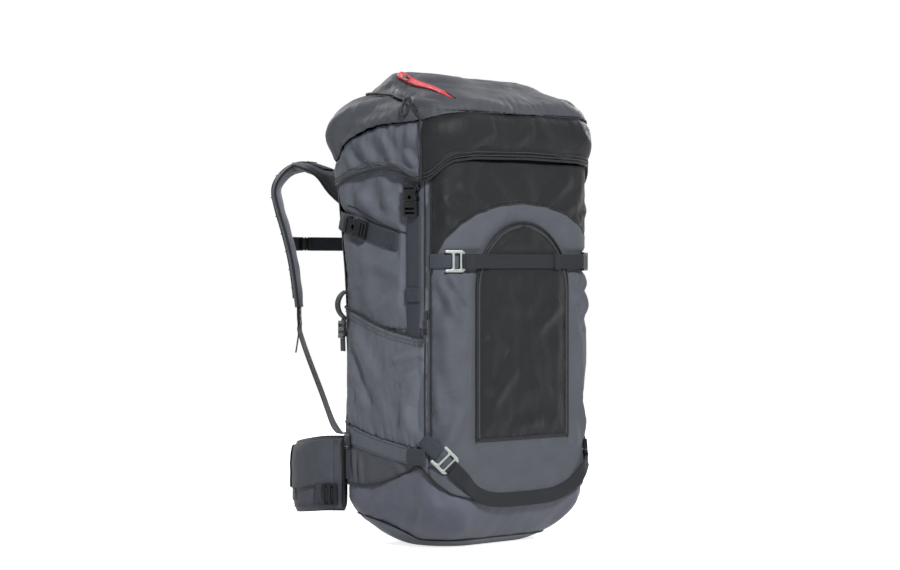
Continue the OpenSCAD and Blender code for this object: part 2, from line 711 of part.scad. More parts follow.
fin_axis = [corner_r - half_w - fin_axis_r * cos(fin_a),
            back_d(belt_z + fin_seat_rise) - corner_r + fin_axis_r * sin(fin_a), belt_z + fin_axis_rise];
fin_run = unit(fin_route[0] - fin_axis);
// The root is half round about its axis, so that it turns against the pack
fin_nose = [15, 45];
fin_pts = concat([for (a = fin_nose) fin_axis - fin_run * cos(a) * fin_root_t / 2], [fin_axis], fin_route);
fin_last = len(fin_pts) - 1;
fin_thick = concat([for (a = fin_nose) sin(a) * fin_root_t], [fin_root_t],
                   [for (p = fin_route) p == fin_pts[fin_last] ? fin_root_t : fin_t]);
module left_hip_fin() {
    color(dark_grey) stack([for (i = [0 : fin_last])
        sweep_ring(fin_pts, i, [0, 0, 1], pad_section, fin_heights[i], fin_thick[i])]);
}
module right_hip_fin() mirror([1, 0, 0]) left_hip_fin();
module left_hip_webbing() {
    color(web_grey) ribbon(hip_web_route, [for (p = hip_web_route) [0, 0, 1]], web_w);
}
module right_hip_webbing() mirror([1, 0, 0]) left_hip_webbing();
module hip_socket() {
    color(buckle_black) on_belt(-hip_buckle_x, hip_end.y - buckle_t / 2, hip_end.z) socket(web_w);
}
module hip_plug() {
    color(buckle_black) on_belt(hip_buckle_x, hip_end.y - buckle_t / 2, hip_end.z) plug(web_w);
}

// Lid

function lid_r(o) = lid_corner_r + 0.35 * o;
function lid_ring_at(o, z, inset) =
    at_z(ring2d(lid_hw + o - inset, lid_f + o - inset, lid_b + o - inset, lid_r(o) - inset), z);
function lid_ring(k, inset, drop = 0) =
    lid_ring_at(lid_profile[k][1], lid_hem_z + lid_profile[k][0] - drop, inset);
module lid_shell(from, to) {
    hoop(concat([for (k = [from : to]) lid_ring(k, 0)], [for (k = [to : -1 : from]) lid_ring(k, lid_wall)]));
}
module lid_skirt() color(dark_grey) lid_shell(0, lid_skirt_top);
module lid_hood() color(fabric_grey) lid_shell(lid_skirt_top, lid_hood_top);
module lid_top_panel() {
    color("#4b4d53") stack(concat(
        [for (k = [lid_last : -1 : lid_hood_top]) lid_ring(k, lid_wall, k == lid_hood_top ? 0 : lid_wall)],
        [for (k = [lid_hood_top : lid_last]) lid_ring(k, 0)]));
}
lid_lining_k = 3;
module lid_lining() {
    ring = lid_ring(lid_lining_k, lid_wall + 3 * seat);
    color("#2b2d30") translate([0, 0, ring[0].z - lid_lining_t])
        linear_extrude(lid_lining_t) polygon([for (p = ring) [p.x, p.y]]);
}

// The lid zip runs straight down the left slope, then round the front corner
lid_zip_t = 1.6;
lid_zip_lift = 1.1;
zip_back_y = 45;
zip_front_y = -35;
zip_back_rise = 138;
zip_front_rise = 124;
function lid_out(rise) = lookup(rise, lid_profile);
function lid_slope(rise) = atan2(4, lid_out(rise - 2) - lid_out(rise + 2));
function lid_side_point(y, rise, off) =
    [-lid_hw - lid_out(rise) - off * sin(lid_slope(rise)), y, lid_hem_z + rise + off * cos(lid_slope(rise))];
function lid_corner_point(a, rise, off) =
    let (o = lid_out(rise), r = lid_r(o), out = off * sin(lid_slope(rise)))
    [r - lid_hw - o, r - lid_f - o, lid_hem_z + rise + off * cos(lid_slope(rise))]
    + (r + out) * corner_dir(a);
function lid_up_slope(a, rise) =
    let (s = lid_slope(rise)) [cos(a) * cos(s), sin(a) * cos(s), sin(s)];
lid_zip_turns = [[15, 121], [30, 116], [45, 108], [60, 98]];
module lid_zip() {
    off = lid_zip_t / 2 + lid_zip_lift;
    pts = concat([lid_side_point(zip_back_y, zip_back_rise, off),
                  lid_side_point(zip_front_y, zip_front_rise, off)],
                 [for (t = lid_zip_turns) lid_corner_point(t[0], t[1], off)]);
    sides = concat([[1, 0, 1], [1, 0, 1]], [for (t = lid_zip_turns) lid_up_slope(t[0], t[1])]);
    color(zip_red) ribbon(pts, sides, lid_zip_w, lid_zip_t);
}
lid_slider_t = 3;
lid_slider_s = 0.45;
module lid_zip_slider() {
    off = lid_zip_t + lid_zip_lift + run_gap + lid_slider_t / 2;
    back = lid_side_point(zip_back_y, zip_back_rise, off);
    front = lid_side_point(zip_front_y, zip_front_rise, off);
    run = unit(front - back);
    mid = lerp(back, front, lid_slider_s);
    side = [[1, 0, 1], [1, 0, 1]];
    color(buckle_black) {
        ribbon([mid - run * slider_len / 2, mid + run * slider_len / 2], side, slider_w, lid_slider_t);
        ribbon([mid, mid + run * (slider_len / 2 + pull_len)], side, slider_w / 2, lid_slider_t / 2);
    }
}
gear_ring_r = 13;
gear_ring_hole_r = 9.5;
gear_ring_t = 3;
gear_ring_y = -58;
module lid_gear_rings() {
    low = lid_profile[3];
    high = lid_profile[4];
    mid = (low + high) / 2;
    slope = atan2(high[0] - low[0], low[1] - high[1]);
    color(buckle_black) both_sides()
        translate([-lid_hw - mid[1] - seat, gear_ring_y, lid_hem_z + mid[0] + seat])
            rotate([0, 0, -90]) rotate([slope - 90, 0, 0]) rotate([90, 0, 0])
                linear_extrude(gear_ring_t) difference() {
                    circle(gear_ring_r);
                    circle(gear_ring_hole_r);
                }
}

base_panel();
left_side_panel();
right_side_panel();
front_panel();
back_panel();
collar();
frame_sheet();
frame_stays();
back_pads();
lumbar_pad();
left_shoulder_strap();
right_shoulder_strap();
left_shoulder_webbing();
right_shoulder_webbing();
shoulder_locks();
haul_loop();
front_pocket();
left_side_zip();
right_side_zip();
left_side_pocket();
right_side_pocket();
lower_bands();
left_compression_webbing();
right_compression_webbing();
compression_sockets();
left_lid_webbing();
right_lid_webbing();
ski_loops();
board_tabs();
board_strap_locks();
board_strap_loops();
upper_board_webbing();
lower_board_webbing();
sternum_socket();
sternum_webbing();
lid_skirt();
lid_hood();
lid_top_panel();
lid_lining();
lid_zip();
lid_gear_rings();
lid_tabs();
lid_sockets();
left_lid_plug();
right_lid_plug();
left_compression_plug();
right_compression_plug();
sternum_plug();
left_side_zip_slider();
right_side_zip_slider();
lid_zip_slider();
upper_board_hook();
lower_board_hook();
left_hip_fin();
right_hip_fin();
left_hip_webbing();
right_hip_webbing();
hip_socket();
hip_plug();
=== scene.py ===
import math

import bpy
import numpy as np
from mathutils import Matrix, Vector


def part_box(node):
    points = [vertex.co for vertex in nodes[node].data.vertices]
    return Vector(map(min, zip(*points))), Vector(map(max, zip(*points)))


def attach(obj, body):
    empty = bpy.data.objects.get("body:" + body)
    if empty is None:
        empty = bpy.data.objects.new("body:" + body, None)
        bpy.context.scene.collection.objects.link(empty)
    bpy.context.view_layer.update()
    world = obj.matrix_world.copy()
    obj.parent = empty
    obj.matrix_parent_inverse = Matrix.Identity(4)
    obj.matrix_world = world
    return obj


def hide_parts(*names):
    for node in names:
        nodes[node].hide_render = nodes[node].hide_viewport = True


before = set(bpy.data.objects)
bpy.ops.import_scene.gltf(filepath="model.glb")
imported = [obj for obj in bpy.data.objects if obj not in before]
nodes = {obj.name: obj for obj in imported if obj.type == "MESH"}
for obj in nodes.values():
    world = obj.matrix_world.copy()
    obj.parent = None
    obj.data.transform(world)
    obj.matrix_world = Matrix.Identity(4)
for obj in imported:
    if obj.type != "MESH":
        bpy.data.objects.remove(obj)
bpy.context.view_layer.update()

# Lengths below are in millimetres; MM turns them into Blender's metres
MM = 0.001
rng = np.random.default_rng(11)

# Main sizes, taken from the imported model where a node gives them
side_low, side_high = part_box("left_side_panel")
HALF_W = -side_low[0] / MM
FRONT_D = -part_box("front_panel")[0][1] / MM
BASE_H = 80
BASE_SEAM_Z = side_low[2] / MM
BODY_H = side_high[2] / MM
BACK_LOW = 104
BACK_HIGH = 120
CORNER_R = 45
FOOT_H = 64
FOOT_IN = 60
FOOT_BACK_IN = 58
FOOT_GROW = 3
FOOT_FULL = 1.4
LID_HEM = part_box("lid_skirt")[0][2] / MM
LID_HW = HALF_W + 9
LID_F = FRONT_D + 9
LID_B = BACK_HIGH + 9
LID_R = 58


def lerp(a, b, t):
    return a + (b - a) * t


def smooth(x, low, high):
    t = np.clip((np.asarray(x, float) - low) / (high - low), 0, 1)
    return t * t * (3 - 2 * t)


# Materials


def srgb(*levels):
    shares = [c / 255 for c in levels]
    return [c / 12.92 if c <= 0.04045 else ((c + 0.055) / 1.055) ** 2.4 for c in shares]


class Look:
    """A procedural material under construction."""

    def __init__(self, name):
        self.mat = bpy.data.materials.new(name)
        self.mat.use_nodes = True
        self.tree = self.mat.node_tree
        self.shader = self.tree.nodes["Principled BSDF"]
        self.coord = self.tree.nodes.new("ShaderNodeTexCoord").outputs

    def put(self, socket, value):
        if isinstance(value, bpy.types.NodeSocket):
            self.tree.links.new(value, socket)
        else:
            socket.default_value = value

    def fill(self, node, inputs):
        for key, value in inputs.items():
            self.put(node.inputs[key.replace("_", " ")], value)

    def node(self, kind, out, **inputs):
        """One output of a new node."""
        n = self.tree.nodes.new(kind)
        self.fill(n, inputs)
        return n.outputs[out]

    def math(self, op, a, b):
        n = self.tree.nodes.new("ShaderNodeMath")
        n.operation = op
        self.put(n.inputs[0], a)
        self.put(n.inputs[1], b)
        return n.outputs[0]

    def mix(self, *parts):
        """Sum of values, each with its weight."""
        terms = [self.math("MULTIPLY", value, weight) for value, weight in parts]
        total = terms[0]
        for term in terms[1:]:
            total = self.math("ADD", total, term)
        return total

    def noise(self, pitch, detail):
        place = self.coord["Object"]
        return self.node("ShaderNodeTexNoise", "Fac", Vector=place, Scale=1 / (pitch * MM), Detail=detail)

    def bands(self, pitch, direction):
        scale = 2 * math.pi / (20 * pitch * MM)
        wave = self.node("ShaderNodeTexWave", "Fac", Vector=self.coord["UV"], Scale=scale)
        wave.node.bands_direction = direction
        return wave

    def bump(self, height, strength, distance):
        bent = self.node("ShaderNodeBump", "Normal", Height=height, Strength=strength, Distance=distance * MM)
        self.put(self.shader.inputs["Normal"], bent)

    def finish(self, colour, fac, shades, cloud, rough, **inputs):
        """Colour between two shades by fac, and roughness between two values by cloud."""
        tint = self.node("ShaderNodeValToRGB", "Color", Fac=fac)
        for stop, k in zip(tint.node.color_ramp.elements, shades):
            stop.color = [c * k for c in colour] + [1]
        spread = self.node("ShaderNodeMapRange", "Result", Value=cloud, To_Min=rough[0], To_Max=rough[1])
        self.fill(self.shader, {"Base_Color": tint, "Roughness": spread, **inputs})
        return self.mat


def woven(name, colour, pitch, rough, sheen, weave=0.35, mottle=0.16, gloss=0.12):
    """Plain woven cloth: crossing threads, fine crinkles, a mottled dye with painted shade between the
    threads, and a faint sheen.
    """
    look = Look(name)
    threads = look.math("MULTIPLY", look.bands(pitch, "X"), look.bands(pitch, "Y"))
    cloud, grain, crinkle = look.noise(26, 4), look.noise(1.6, 2), look.noise(7, 3)
    look.bump(look.mix((threads, 1), (grain, 0.8), (crinkle, 9)), weave, 0.25)
    # The colour mixes a random mottle with the height of the threads and the grain that also raise the bump:
    # painted shade in the gaps between threads.
    dye_and_weave_shade = look.mix((look.mix((cloud, 0.6), (grain, 0.4)), 0.8), (threads, 0.2))
    return look.finish(
        colour, dye_and_weave_shade, (1 - 2 * mottle, 1 + 2 * mottle), cloud, (rough - 0.06, rough + 0.06),
        Sheen_Weight=sheen, Sheen_Roughness=0.5, Specular_IOR_Level=gloss,
    )


def belt(name, colour, rough=0.62):
    """Ribbed webbing: lengthwise cords crossed by a tight weft."""
    look = Look(name)
    height = look.mix((look.bands(2.1, "X"), 1), (look.bands(1.3, "Y"), 0.6))
    cloud = look.noise(9, 3)
    look.bump(height, 0.5, 0.35)
    # The colour follows the ribs' height, which also drives the bump, and a random cloud: painted shade
    # between the cords.
    return look.finish(
        colour, look.mix((height, 0.35), (cloud, 0.5)), (0.7, 1.3), cloud, (rough - 0.07, rough + 0.07),
        Specular_IOR_Level=0.1, Sheen_Weight=0.03,
    )


def mesh_cloth(name, colour, pitch):
    """Open spacer mesh, for pads that carry no flat map."""
    look = Look(name)
    place = look.coord["Object"]
    cells = look.node("ShaderNodeTexVoronoi", "Distance", Vector=place, Scale=1 / (pitch * MM))
    cloud = look.noise(30, 3)
    look.bump(look.math("MULTIPLY", cells, -1), 0.6, 0.8)
    # The colour darkens where the cells' bump runs low, mixed with a random cloud: painted shade in the
    # mesh's hollows.
    fac = look.math("ADD", look.mix((cells, -0.9), (cloud, 0.5)), 0.6)
    return look.finish(
        colour, fac, (0.45, 1.35), cloud, (0.78, 0.9), Sheen_Weight=0.2, Specular_IOR_Level=0.2,
    )


def moulded(name, colour, rough):
    """Moulded plastic with a fine spark-eroded grain."""
    look = Look(name)
    cloud = look.noise(14, 3)
    look.bump(look.noise(0.8, 2), 0.12, 0.1)
    return look.finish(colour, cloud, (0.8, 1.3), cloud, (rough - 0.08, rough + 0.1), Specular_IOR_Level=0.15)


def metal(name, colour, rough):
    """Tumbled metal with faint scuffs."""
    look = Look(name)
    scuff = look.noise(1.2, 3)
    look.bump(scuff, 0.08, 0.1)
    cloud = look.noise(6, 4)
    return look.finish(colour, cloud, (0.88, 1.06), scuff, (rough - 0.08, rough + 0.1), Metallic=1.0)


def coil(name, colour, pitch, rough):
    """Zip coil or cord: tight turns across its length."""
    look = Look(name)
    turns = look.bands(pitch, "Y")
    cloud = look.noise(7, 3)
    look.bump(turns, 0.7, 0.5)
    # The colour follows the turns that also drive the bump, mixed with a random cloud: painted shade between
    # the turns.
    fac = look.mix((turns, 0.5), (cloud, 0.5))
    return look.finish(
        colour, fac, (0.65, 1.25), cloud, (rough - 0.06, rough + 0.06), Specular_IOR_Level=0.4,
    )


LOOKS = {
    "main_fabric": woven("main_cloth", srgb(90, 94, 103), 1.1, 0.66, 0.08),
    # Dark cloth, darkened further to the shade that the board strapped across the front casts on the lid's
    # front and the yoke: partly painted shade.
    "dark_fabric": woven("dark_cloth", srgb(26, 27, 29), 1.0, 0.54, 0.03, gloss=0.16),
    "top_fabric": woven("top_cloth", srgb(68, 70, 76), 0.9, 0.55, 0.05, 0.22),
    "stretch_fabric": woven("stretch_cloth", srgb(90, 94, 102), 0.8, 0.6, 0.08),
    "band_fabric": woven("band_cloth", srgb(84, 90, 98), 1.9, 0.55, 0.05, 0.6, 0.22),
    "base_fabric": woven("base_cloth", srgb(86, 89, 100), 1.5, 0.5, 0.05, 0.3, 0.14),
    "pad_mesh": mesh_cloth("spacer_mesh", srgb(60, 62, 67), 2.4),
    "webbing": belt("grey_webbing", srgb(55, 59, 66)),
    "black_webbing": belt("dark_webbing", srgb(38, 40, 43)),
    "black_plastic": moulded("buckle_plastic", srgb(24, 25, 27), 0.26),
    "zip_coil": coil("zip_coil", srgb(34, 35, 38), 1.5, 0.5),
    "red_zip": coil("red_zip", srgb(214, 44, 60), 1.8, 0.42),
    "hook_metal": metal("hook_metal", srgb(142, 149, 146), 0.4),
    "frame_plastic": moulded("frame_plastic", srgb(40, 42, 45), 0.5),
    "stay_metal": metal("stay_metal", srgb(190, 192, 196), 0.35),
}
# Darker copies of the main cloth for the lower front and the hood: painted shade, holding them down where the
# key lamp lights them more than the side.
SHADED_FRONT = woven("front_cloth", srgb(78, 81, 88), 1.1, 0.66, 0.06)
SHADED_HOOD = woven("hood_cloth", srgb(72, 75, 82), 1.1, 0.6, 0.08)
UNDER = woven("under_cloth", srgb(70, 73, 80), 1.0, 0.66, 0.06)
PIPING = woven("piping_cloth", srgb(34, 35, 38), 0.7, 0.55, 0.1)
THREAD = coil("thread", srgb(54, 56, 61), 0.5, 0.6)

# Building meshes


def add_piece(name, verts, faces, body, slot, uvs=None, mat=None, node=(), smooth_shade=True):
    """A new mesh piece in millimetres that rides on a body and may stand for a CAD node."""
    mesh = bpy.data.meshes.new(name)
    mesh.from_pydata((np.asarray(verts, float) * MM).tolist(), [], faces)
    if uvs is not None:
        flat = np.asarray(uvs, float) * MM
        index = np.empty(len(mesh.loops), dtype=np.int64)
        mesh.loops.foreach_get("vertex_index", index)
        layer = mesh.uv_layers.new(name="cloth")
        layer.data.foreach_set("uv", flat[index].astype(np.float32).ravel())
    mesh.polygons.foreach_set("use_smooth", [smooth_shade] * len(mesh.polygons))
    mesh.materials.append(mat or LOOKS[slot])
    obj = bpy.data.objects.new(name, mesh)
    bpy.context.scene.collection.objects.link(obj)
    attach(obj, body)
    if node:
        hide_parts(node)
    return obj


def first(label, node):
    """A node that a pair of pieces stands for is named on the left or the upper one."""
    return node if label in ("left", "upper") else ()


def grid(across, along):
    """Two rows of values spread over one grid."""
    return np.meshgrid(across, along, indexing="ij")


def stacked(*rows):
    """Values put together as points."""
    return np.stack(np.broadcast_arrays(*rows), -1)


def quad_faces(cols, rows, closed=False, flip=False):
    faces = []
    for i in range(cols if closed else cols - 1):
        k = (i + 1) % cols
        for j in range(rows - 1):
            face = (i * rows + j, k * rows + j, k * rows + j + 1, i * rows + j + 1)
            faces.append(face[::-1] if flip else face)
    return faces


def cloth(name, pts, normals, uvs, body, slot, thick=1.6, closed=False, mat=None, node=()):
    """A sheet of cloth on a grid of points, with its own thickness towards the inside."""
    cols, rows = pts.shape[:2]
    i, j = cols // 2, rows // 2
    along = pts[(i + 1) % cols, j] - pts[i, j]
    up = pts[i, min(j + 1, rows - 1)] - pts[i, j - (j + 1 >= rows)]
    flip = np.dot(np.cross(along, up), normals[i, j]) < 0
    faces = quad_faces(cols, rows, closed, flip)
    obj = add_piece(name, pts.reshape(-1, 3), faces, body, slot, uvs.reshape(-1, 2), mat, node)
    solid = obj.modifiers.new("thickness", "SOLIDIFY")
    solid.thickness = thick * MM
    solid.offset = -1


def unit(v):
    return v / np.maximum(np.linalg.norm(v, axis=-1, keepdims=True), 1e-9)


def cubic(a, b, c, d, t):
    """Smooth curve from b to c, with a before and d after them."""
    return 0.5 * (2 * b + (c - a) * t + (2 * a - 5 * b + 4 * c - d) * t**2 + (3 * b - a - 3 * c + d) * t**3)


def spline(points, count):
    """Smooth curve through points, sampled evenly by length."""
    p = np.asarray(points, float)
    ext = np.vstack([2 * p[0] - p[1], p, 2 * p[-1] - p[-2]])
    steps = np.linspace(0, 1, 24, endpoint=False)
    out = [cubic(*ext[k : k + 4], t) for k in range(len(p) - 1) for t in steps]
    return even(np.asarray(out + [p[-1]]), count)


def run_along(path):
    """Distance of each point of a path from its start."""
    return np.concatenate([[0], np.cumsum(np.linalg.norm(np.diff(path, axis=0), axis=1))])


def even(path, count):
    s = run_along(path)
    t = np.linspace(0, s[-1], count)
    return np.stack([np.interp(t, s, row) for row in path.T], axis=1)


def sweep(name, path, sides, section, body, slot, mat=None, node=(), scale=(1, 1)):
    """A closed section carried along a path; sides says which way the section's x lies."""
    path = np.asarray(path, float)
    count = len(path)
    sides = np.broadcast_to(np.asarray(sides, float), path.shape)
    d = unit(np.gradient(path, axis=0))
    a = unit(sides - d * np.sum(d * sides, axis=1, keepdims=True))
    b = np.cross(d, a)
    section = np.asarray(section, float)
    n = len(section)
    k = np.broadcast_to(scale, (count, 2))[:, None]
    across, up = section[:, :1] * k[..., :1], section[:, 1:] * k[..., 1:]
    rings = path[:, None] + a[:, None] * across + b[:, None] * up
    faces = []
    for i in range(count - 1):
        for j in range(n):
            m = (j + 1) % n
            faces.append((i * n + j, i * n + m, (i + 1) * n + m, (i + 1) * n + j))
    faces.append(tuple(range(n - 1, -1, -1)))
    faces.append(tuple((count - 1) * n + j for j in range(n)))
    uvs = stacked(section[None, :, 0], run_along(path)[:, None]).reshape(-1, 2)
    return add_piece(name, rings.reshape(-1, 3), faces, body, slot, uvs, mat, node)


def round_section(r, sides=8):
    a = np.arange(sides) * 2 * math.pi / sides
    return np.stack([r * np.cos(a), r * np.sin(a)], axis=1)


def piping(name, path, sides, r, slot="dark_fabric", body="pack", node=()):
    """A round cord sewn along a seam or an edge."""
    sweep(name, path, sides, round_section(r), body, slot, PIPING, node)


def web_section(w, t):
    """Flat webbing with rounded selvedges and a slightly crowned face."""
    half = t / 2
    e = w / 2
    under = [(-e, -0.3), (half - e, -0.9), (-e * 0.5, -1), (e * 0.5, -1), (e - half, -0.9), (e, -0.3)]
    face = [(e, 0.3), (e - half, 0.9), (e * 0.5, 1), (0, 1.05), (-e * 0.5, 1), (half - e, 0.9), (-e, 0.3)]
    return [(u, half * v) for u, v in under + face]


def web(name, path, sides, w, body="pack", slot="webbing", t=1.8, node=(), count=40):
    """A run of webbing through the given points."""
    pts = spline(path, count) if len(path) > 2 else even(np.asarray(path, float), count)
    sweep(name, pts, sides, web_section(w, t), body, slot, node=node)


def stitches(name, lines, slot, body="pack", step=4.2, length=2.9, r=0.32, lift=0.1):
    """Short raised stitches along lines given as (points, outward directions)."""
    verts, faces = [], []
    for pts, outs in lines:
        pts = np.asarray(pts, float)
        outs = np.broadcast_to(np.asarray(outs, float), pts.shape)
        both = even(np.hstack([pts, outs]), max(2, int(run_along(pts)[-1] / step)))
        p, o = both[:, :3], unit(both[:, 3:])
        d = unit(np.gradient(p, axis=0))
        s = np.cross(d, o)
        for k in range(len(p)):
            base = len(verts)
            c = p[k] + o[k] * lift
            for end, rise in ((-0.5, 0), (-0.3, 1), (0.3, 1), (0.5, 0)):
                for side in (-1, 1):
                    verts.append(c + d[k] * end * length + s[k] * side * r + o[k] * rise * r * 2)
            for q in (base, base + 2, base + 4):
                faces.append((q, q + 2, q + 3, q + 1))
            for face in ((0, 1, 7, 6), (0, 6, 4, 2), (1, 3, 5, 7)):
                faces.append(tuple(base + m for m in face))
    add_piece(name, verts, faces, body, slot, None, THREAD, smooth_shade=False)


# Cloth relief: noise, folds and puckers, all in millimetres

NOISE_SIZE = 4096
NOISE_TURNS = rng.uniform(0, 2 * math.pi, NOISE_SIZE)
NOISE_ORDER = rng.permutation(NOISE_SIZE)


def noise(x, y, seed=0):
    """Smooth gradient noise between about -1 and 1."""
    x, y = np.broadcast_arrays(np.asarray(x, float), np.asarray(y, float))
    xi, yi = np.floor(x).astype(int), np.floor(y).astype(int)
    xf, yf = x - xi, y - yi

    def corner(dx, dy):
        h = NOISE_ORDER[(xi + dx + seed * 131) % NOISE_SIZE]
        turn = NOISE_TURNS[(h + NOISE_ORDER[(yi + dy + seed * 37) % NOISE_SIZE]) % NOISE_SIZE]
        return np.cos(turn) * (xf - dx) + np.sin(turn) * (yf - dy)

    u = xf * xf * xf * (xf * (xf * 6 - 15) + 10)
    v = yf * yf * yf * (yf * (yf * 6 - 15) + 10)
    low = lerp(corner(0, 0), corner(1, 0), u)
    high = lerp(corner(0, 1), corner(1, 1), u)
    return lerp(low, high, v) * 1.5


def fold(s, z, a, b, w, depth, lean=0.5):
    """A fold of cloth from a to b, fading out at both ends; lean makes one flank steeper."""
    dx, dz = b[0] - a[0], b[1] - a[1]
    size = math.hypot(dx, dz)
    t = ((s - a[0]) * dx + (z - a[1]) * dz) / size**2
    d = ((s - a[0]) * dz - (z - a[1]) * dx) / size / (1.5 * w)
    fade = np.sqrt(np.clip(4 * t * (1 - t), 0, 1))
    g = np.exp(-d * d)
    return 2.0 * depth * fade * (g * (1 + lean * d) - 0.55 * np.exp(-d * d / 4))


def folds(s, z, rows, signs=(1,)):
    """Folds by their ends' s and z, width and depth; signs -1 and 1 lay them on both sides."""
    h = 0
    for sign in signs:
        for a, a_z, b, b_z, w, depth in rows:
            h = h + fold(s, z, (sign * a, a_z), (sign * b, b_z), w, depth)
    return h


BOTH = (-1, 1)


def pinch(dist, w, depth):
    """Cloth drawn in along a seam."""
    return -depth * np.exp(-((dist / w) ** 2))


def pucker(along, dist, pitch, amp, reach, seed):
    """Small gathers that run away from a seam."""
    return amp * np.exp(-np.abs(dist) / reach) * noise(along / pitch, dist / (2.5 * reach), seed)


# The body's shape. A place round it is q: 0 front middle, 1 to 2 front left corner, 2 to 3 left side,
# 3 to 4 back left corner, 5 back middle, and on to 10 mirrored on the right


def half_turn(q):
    """Place q folded onto the left half, with 1 on the left and -1 on the right."""
    q = np.asarray(q, float) % 10
    return np.where(q > 5, 10 - q, q), np.where(q > 5, -1.0, 1.0)


def split_place(q):
    p, left = half_turn(q)
    k = np.clip(np.floor(p), 0, 4).astype(int)
    return k, p - k, left


def ring(q, a, f, b, r):
    """Place and outward direction at q round a rounded rectangle."""
    k, t, left = split_place(q)
    sin, cos = np.sin(t * math.pi / 2), np.cos(t * math.pi / 2)
    one, zero = np.ones_like(t), np.zeros_like(t)
    x = np.choose(k, [(r - a) * t, r - a - r * sin, -a * one, r - a - r * cos, (r - a) * (1 - t)])
    y = np.choose(k, [-f * one, r - f - r * cos, r - f + (f + b - 2 * r) * t, b - r + r * sin, b * one])
    nx = np.choose(k, [zero, -sin, -one, -cos, zero])
    ny = np.choose(k, [-one, -cos, zero, sin, one])
    return x * left, y, nx * left, ny


def back_d(z):
    return BACK_LOW + (BACK_HIGH - BACK_LOW) * (z - BASE_H) / (BODY_H - BASE_H)


def body_dims(z):
    z = np.asarray(z, float)
    k = 1 - (1 - np.clip(1 - z / FOOT_H, 0, 1) ** FOOT_FULL) ** (1 / FOOT_FULL)
    back = back_d(np.maximum(z, BASE_SEAM_Z))
    return HALF_W - FOOT_IN * k, FRONT_D - FOOT_IN * k, back - FOOT_BACK_IN * k, CORNER_R + FOOT_GROW * k


def body(q, z, out=0.0):
    """Points and outward directions on the body at place q and height z, as one array."""
    q, z = np.broadcast_arrays(np.asarray(q, float), np.asarray(z, float))
    x, y, nx, ny = ring(q, *body_dims(z))
    points = stacked(x + nx * out, y + ny * out, z + 0 * x)
    return np.stack([points, stacked(nx, ny, 0 * nx)])


def run_round(q, z):
    """Distance round the body from the front middle, negative on the right."""
    a, f, b, r = body_dims(z)
    k, t, left = split_place(q)
    turn = r * math.pi / 2
    lengths = [part + 0 * t for part in (a - r, turn, f + b - 2 * r, turn, a - r)]
    starts = [sum(lengths[:n], 0 * t) for n in range(5)]
    return left * (np.choose(k, starts) + np.choose(k, lengths) * t)


def q_side(y, z=300.0):
    """Place round the body of a point at depth y on its left side."""
    return 2 + (y + FRONT_D - CORNER_R) / (FRONT_D + back_d(z) - 2 * CORNER_R)


CORNER_RUN = CORNER_R * math.pi / 2


def side_place(y, z):
    """Place round the body at depth y, on past the left side round either corner."""
    past = y - back_d(z) + CORNER_R
    q = np.where(past > 0, 3 + past / CORNER_RUN, q_side(y, z))
    return np.where(y < CORNER_R - FRONT_D, 2 + (y + FRONT_D - CORNER_R) / CORNER_RUN, q)


def q_corner(angle):
    """Place on the front left corner, by degrees from the side."""
    return 2 - angle / 90


def q_back(angle):
    """Place on the back left corner, by degrees from the side."""
    return 3 + angle / 90


SIDE_FROM = HALF_W - CORNER_R + CORNER_RUN + FRONT_D - CORNER_R
ZIP_A = 15
Q_ZIP = q_corner(ZIP_A)
Q_SEAM = q_back(30)
MIRROR = np.array([-1.0, 1.0, 1.0])
SIDES = (("left", np.ones(3), 0), ("right", MIRROR, 40))

# Height of the seam over the base, by place round the body
BASE_SEAM = [
    (0, 70), (0.7, 71), (1.0, 73), (1.34, 78.6), (1.55, 87.7), (1.81, 101.5), (1.93, 110), (2.0, 114.5),
    (2.07, 115), (2.19, 108), (2.37, 98.7), (2.61, 89), (2.87, 83.5), (3.14, 83), (4.0, 82), (5.0, 82),
]


def soft_line(table, x, reach=9, count=7):
    """A line through a table's points with its corners rounded off."""
    at = np.array(table, float)
    return np.mean([np.interp(x + d, at[:, 0], at[:, 1]) for d in np.linspace(-reach, reach, count)], axis=0)


def base_seam(q):
    return soft_line(BASE_SEAM, half_turn(q)[0], 0.06, 5)


def panel(q_from, q_to, low, high, cols, rows):
    """Grid of places over a panel between two seams and two heights."""
    q, v = grid(np.linspace(q_from, q_to, cols), np.linspace(0, 1, rows))
    return q, lerp(low(q), high(q), v)


def body_top(q):
    return BODY_H - 6 + 0 * q


# Side panels

COMP_TILT = math.radians(14.6)
COMP_SLOPE = math.tan(COMP_TILT)
COMP_Y = 54
COMP_Z = 436
LID_STRAP_Y = -54
SIDE_FOLDS = (
    (-42, 500, 2, 470, 9, 3.6), (10, 506, -14, 452, 9, 3.2), (66, 492, 16, 446, 8, 3.4),
    (34, 504, 56, 462, 8, 2.6), (-34, 408, 44, 376, 10, 3.2), (52, 418, 36, 330, 12, 2.6),
    (-36, 372, 52, 398, 8, 2.2), (-30, 346, 30, 322, 9, 2.6), (72, 440, 66, 352, 9, 2.4),
    (-86, 470, -80, 330, 5, 1.4),
)


def comp_off(y, z):
    """Height above the line of the compression strap."""
    return (z - COMP_Z - (y - COMP_Y) * COMP_SLOPE) * math.cos(COMP_TILT)


def edge_lean(z):
    """The back edges draw in at half height and swell out under the lid."""
    return np.interp(z, [80, 200, 300, 370, 430, 490, 530], [0, -1.5, -3, -2, 1.5, 5, 5])


def back_lean(y, z):
    return edge_lean(z) * smooth(y, 20, 78)


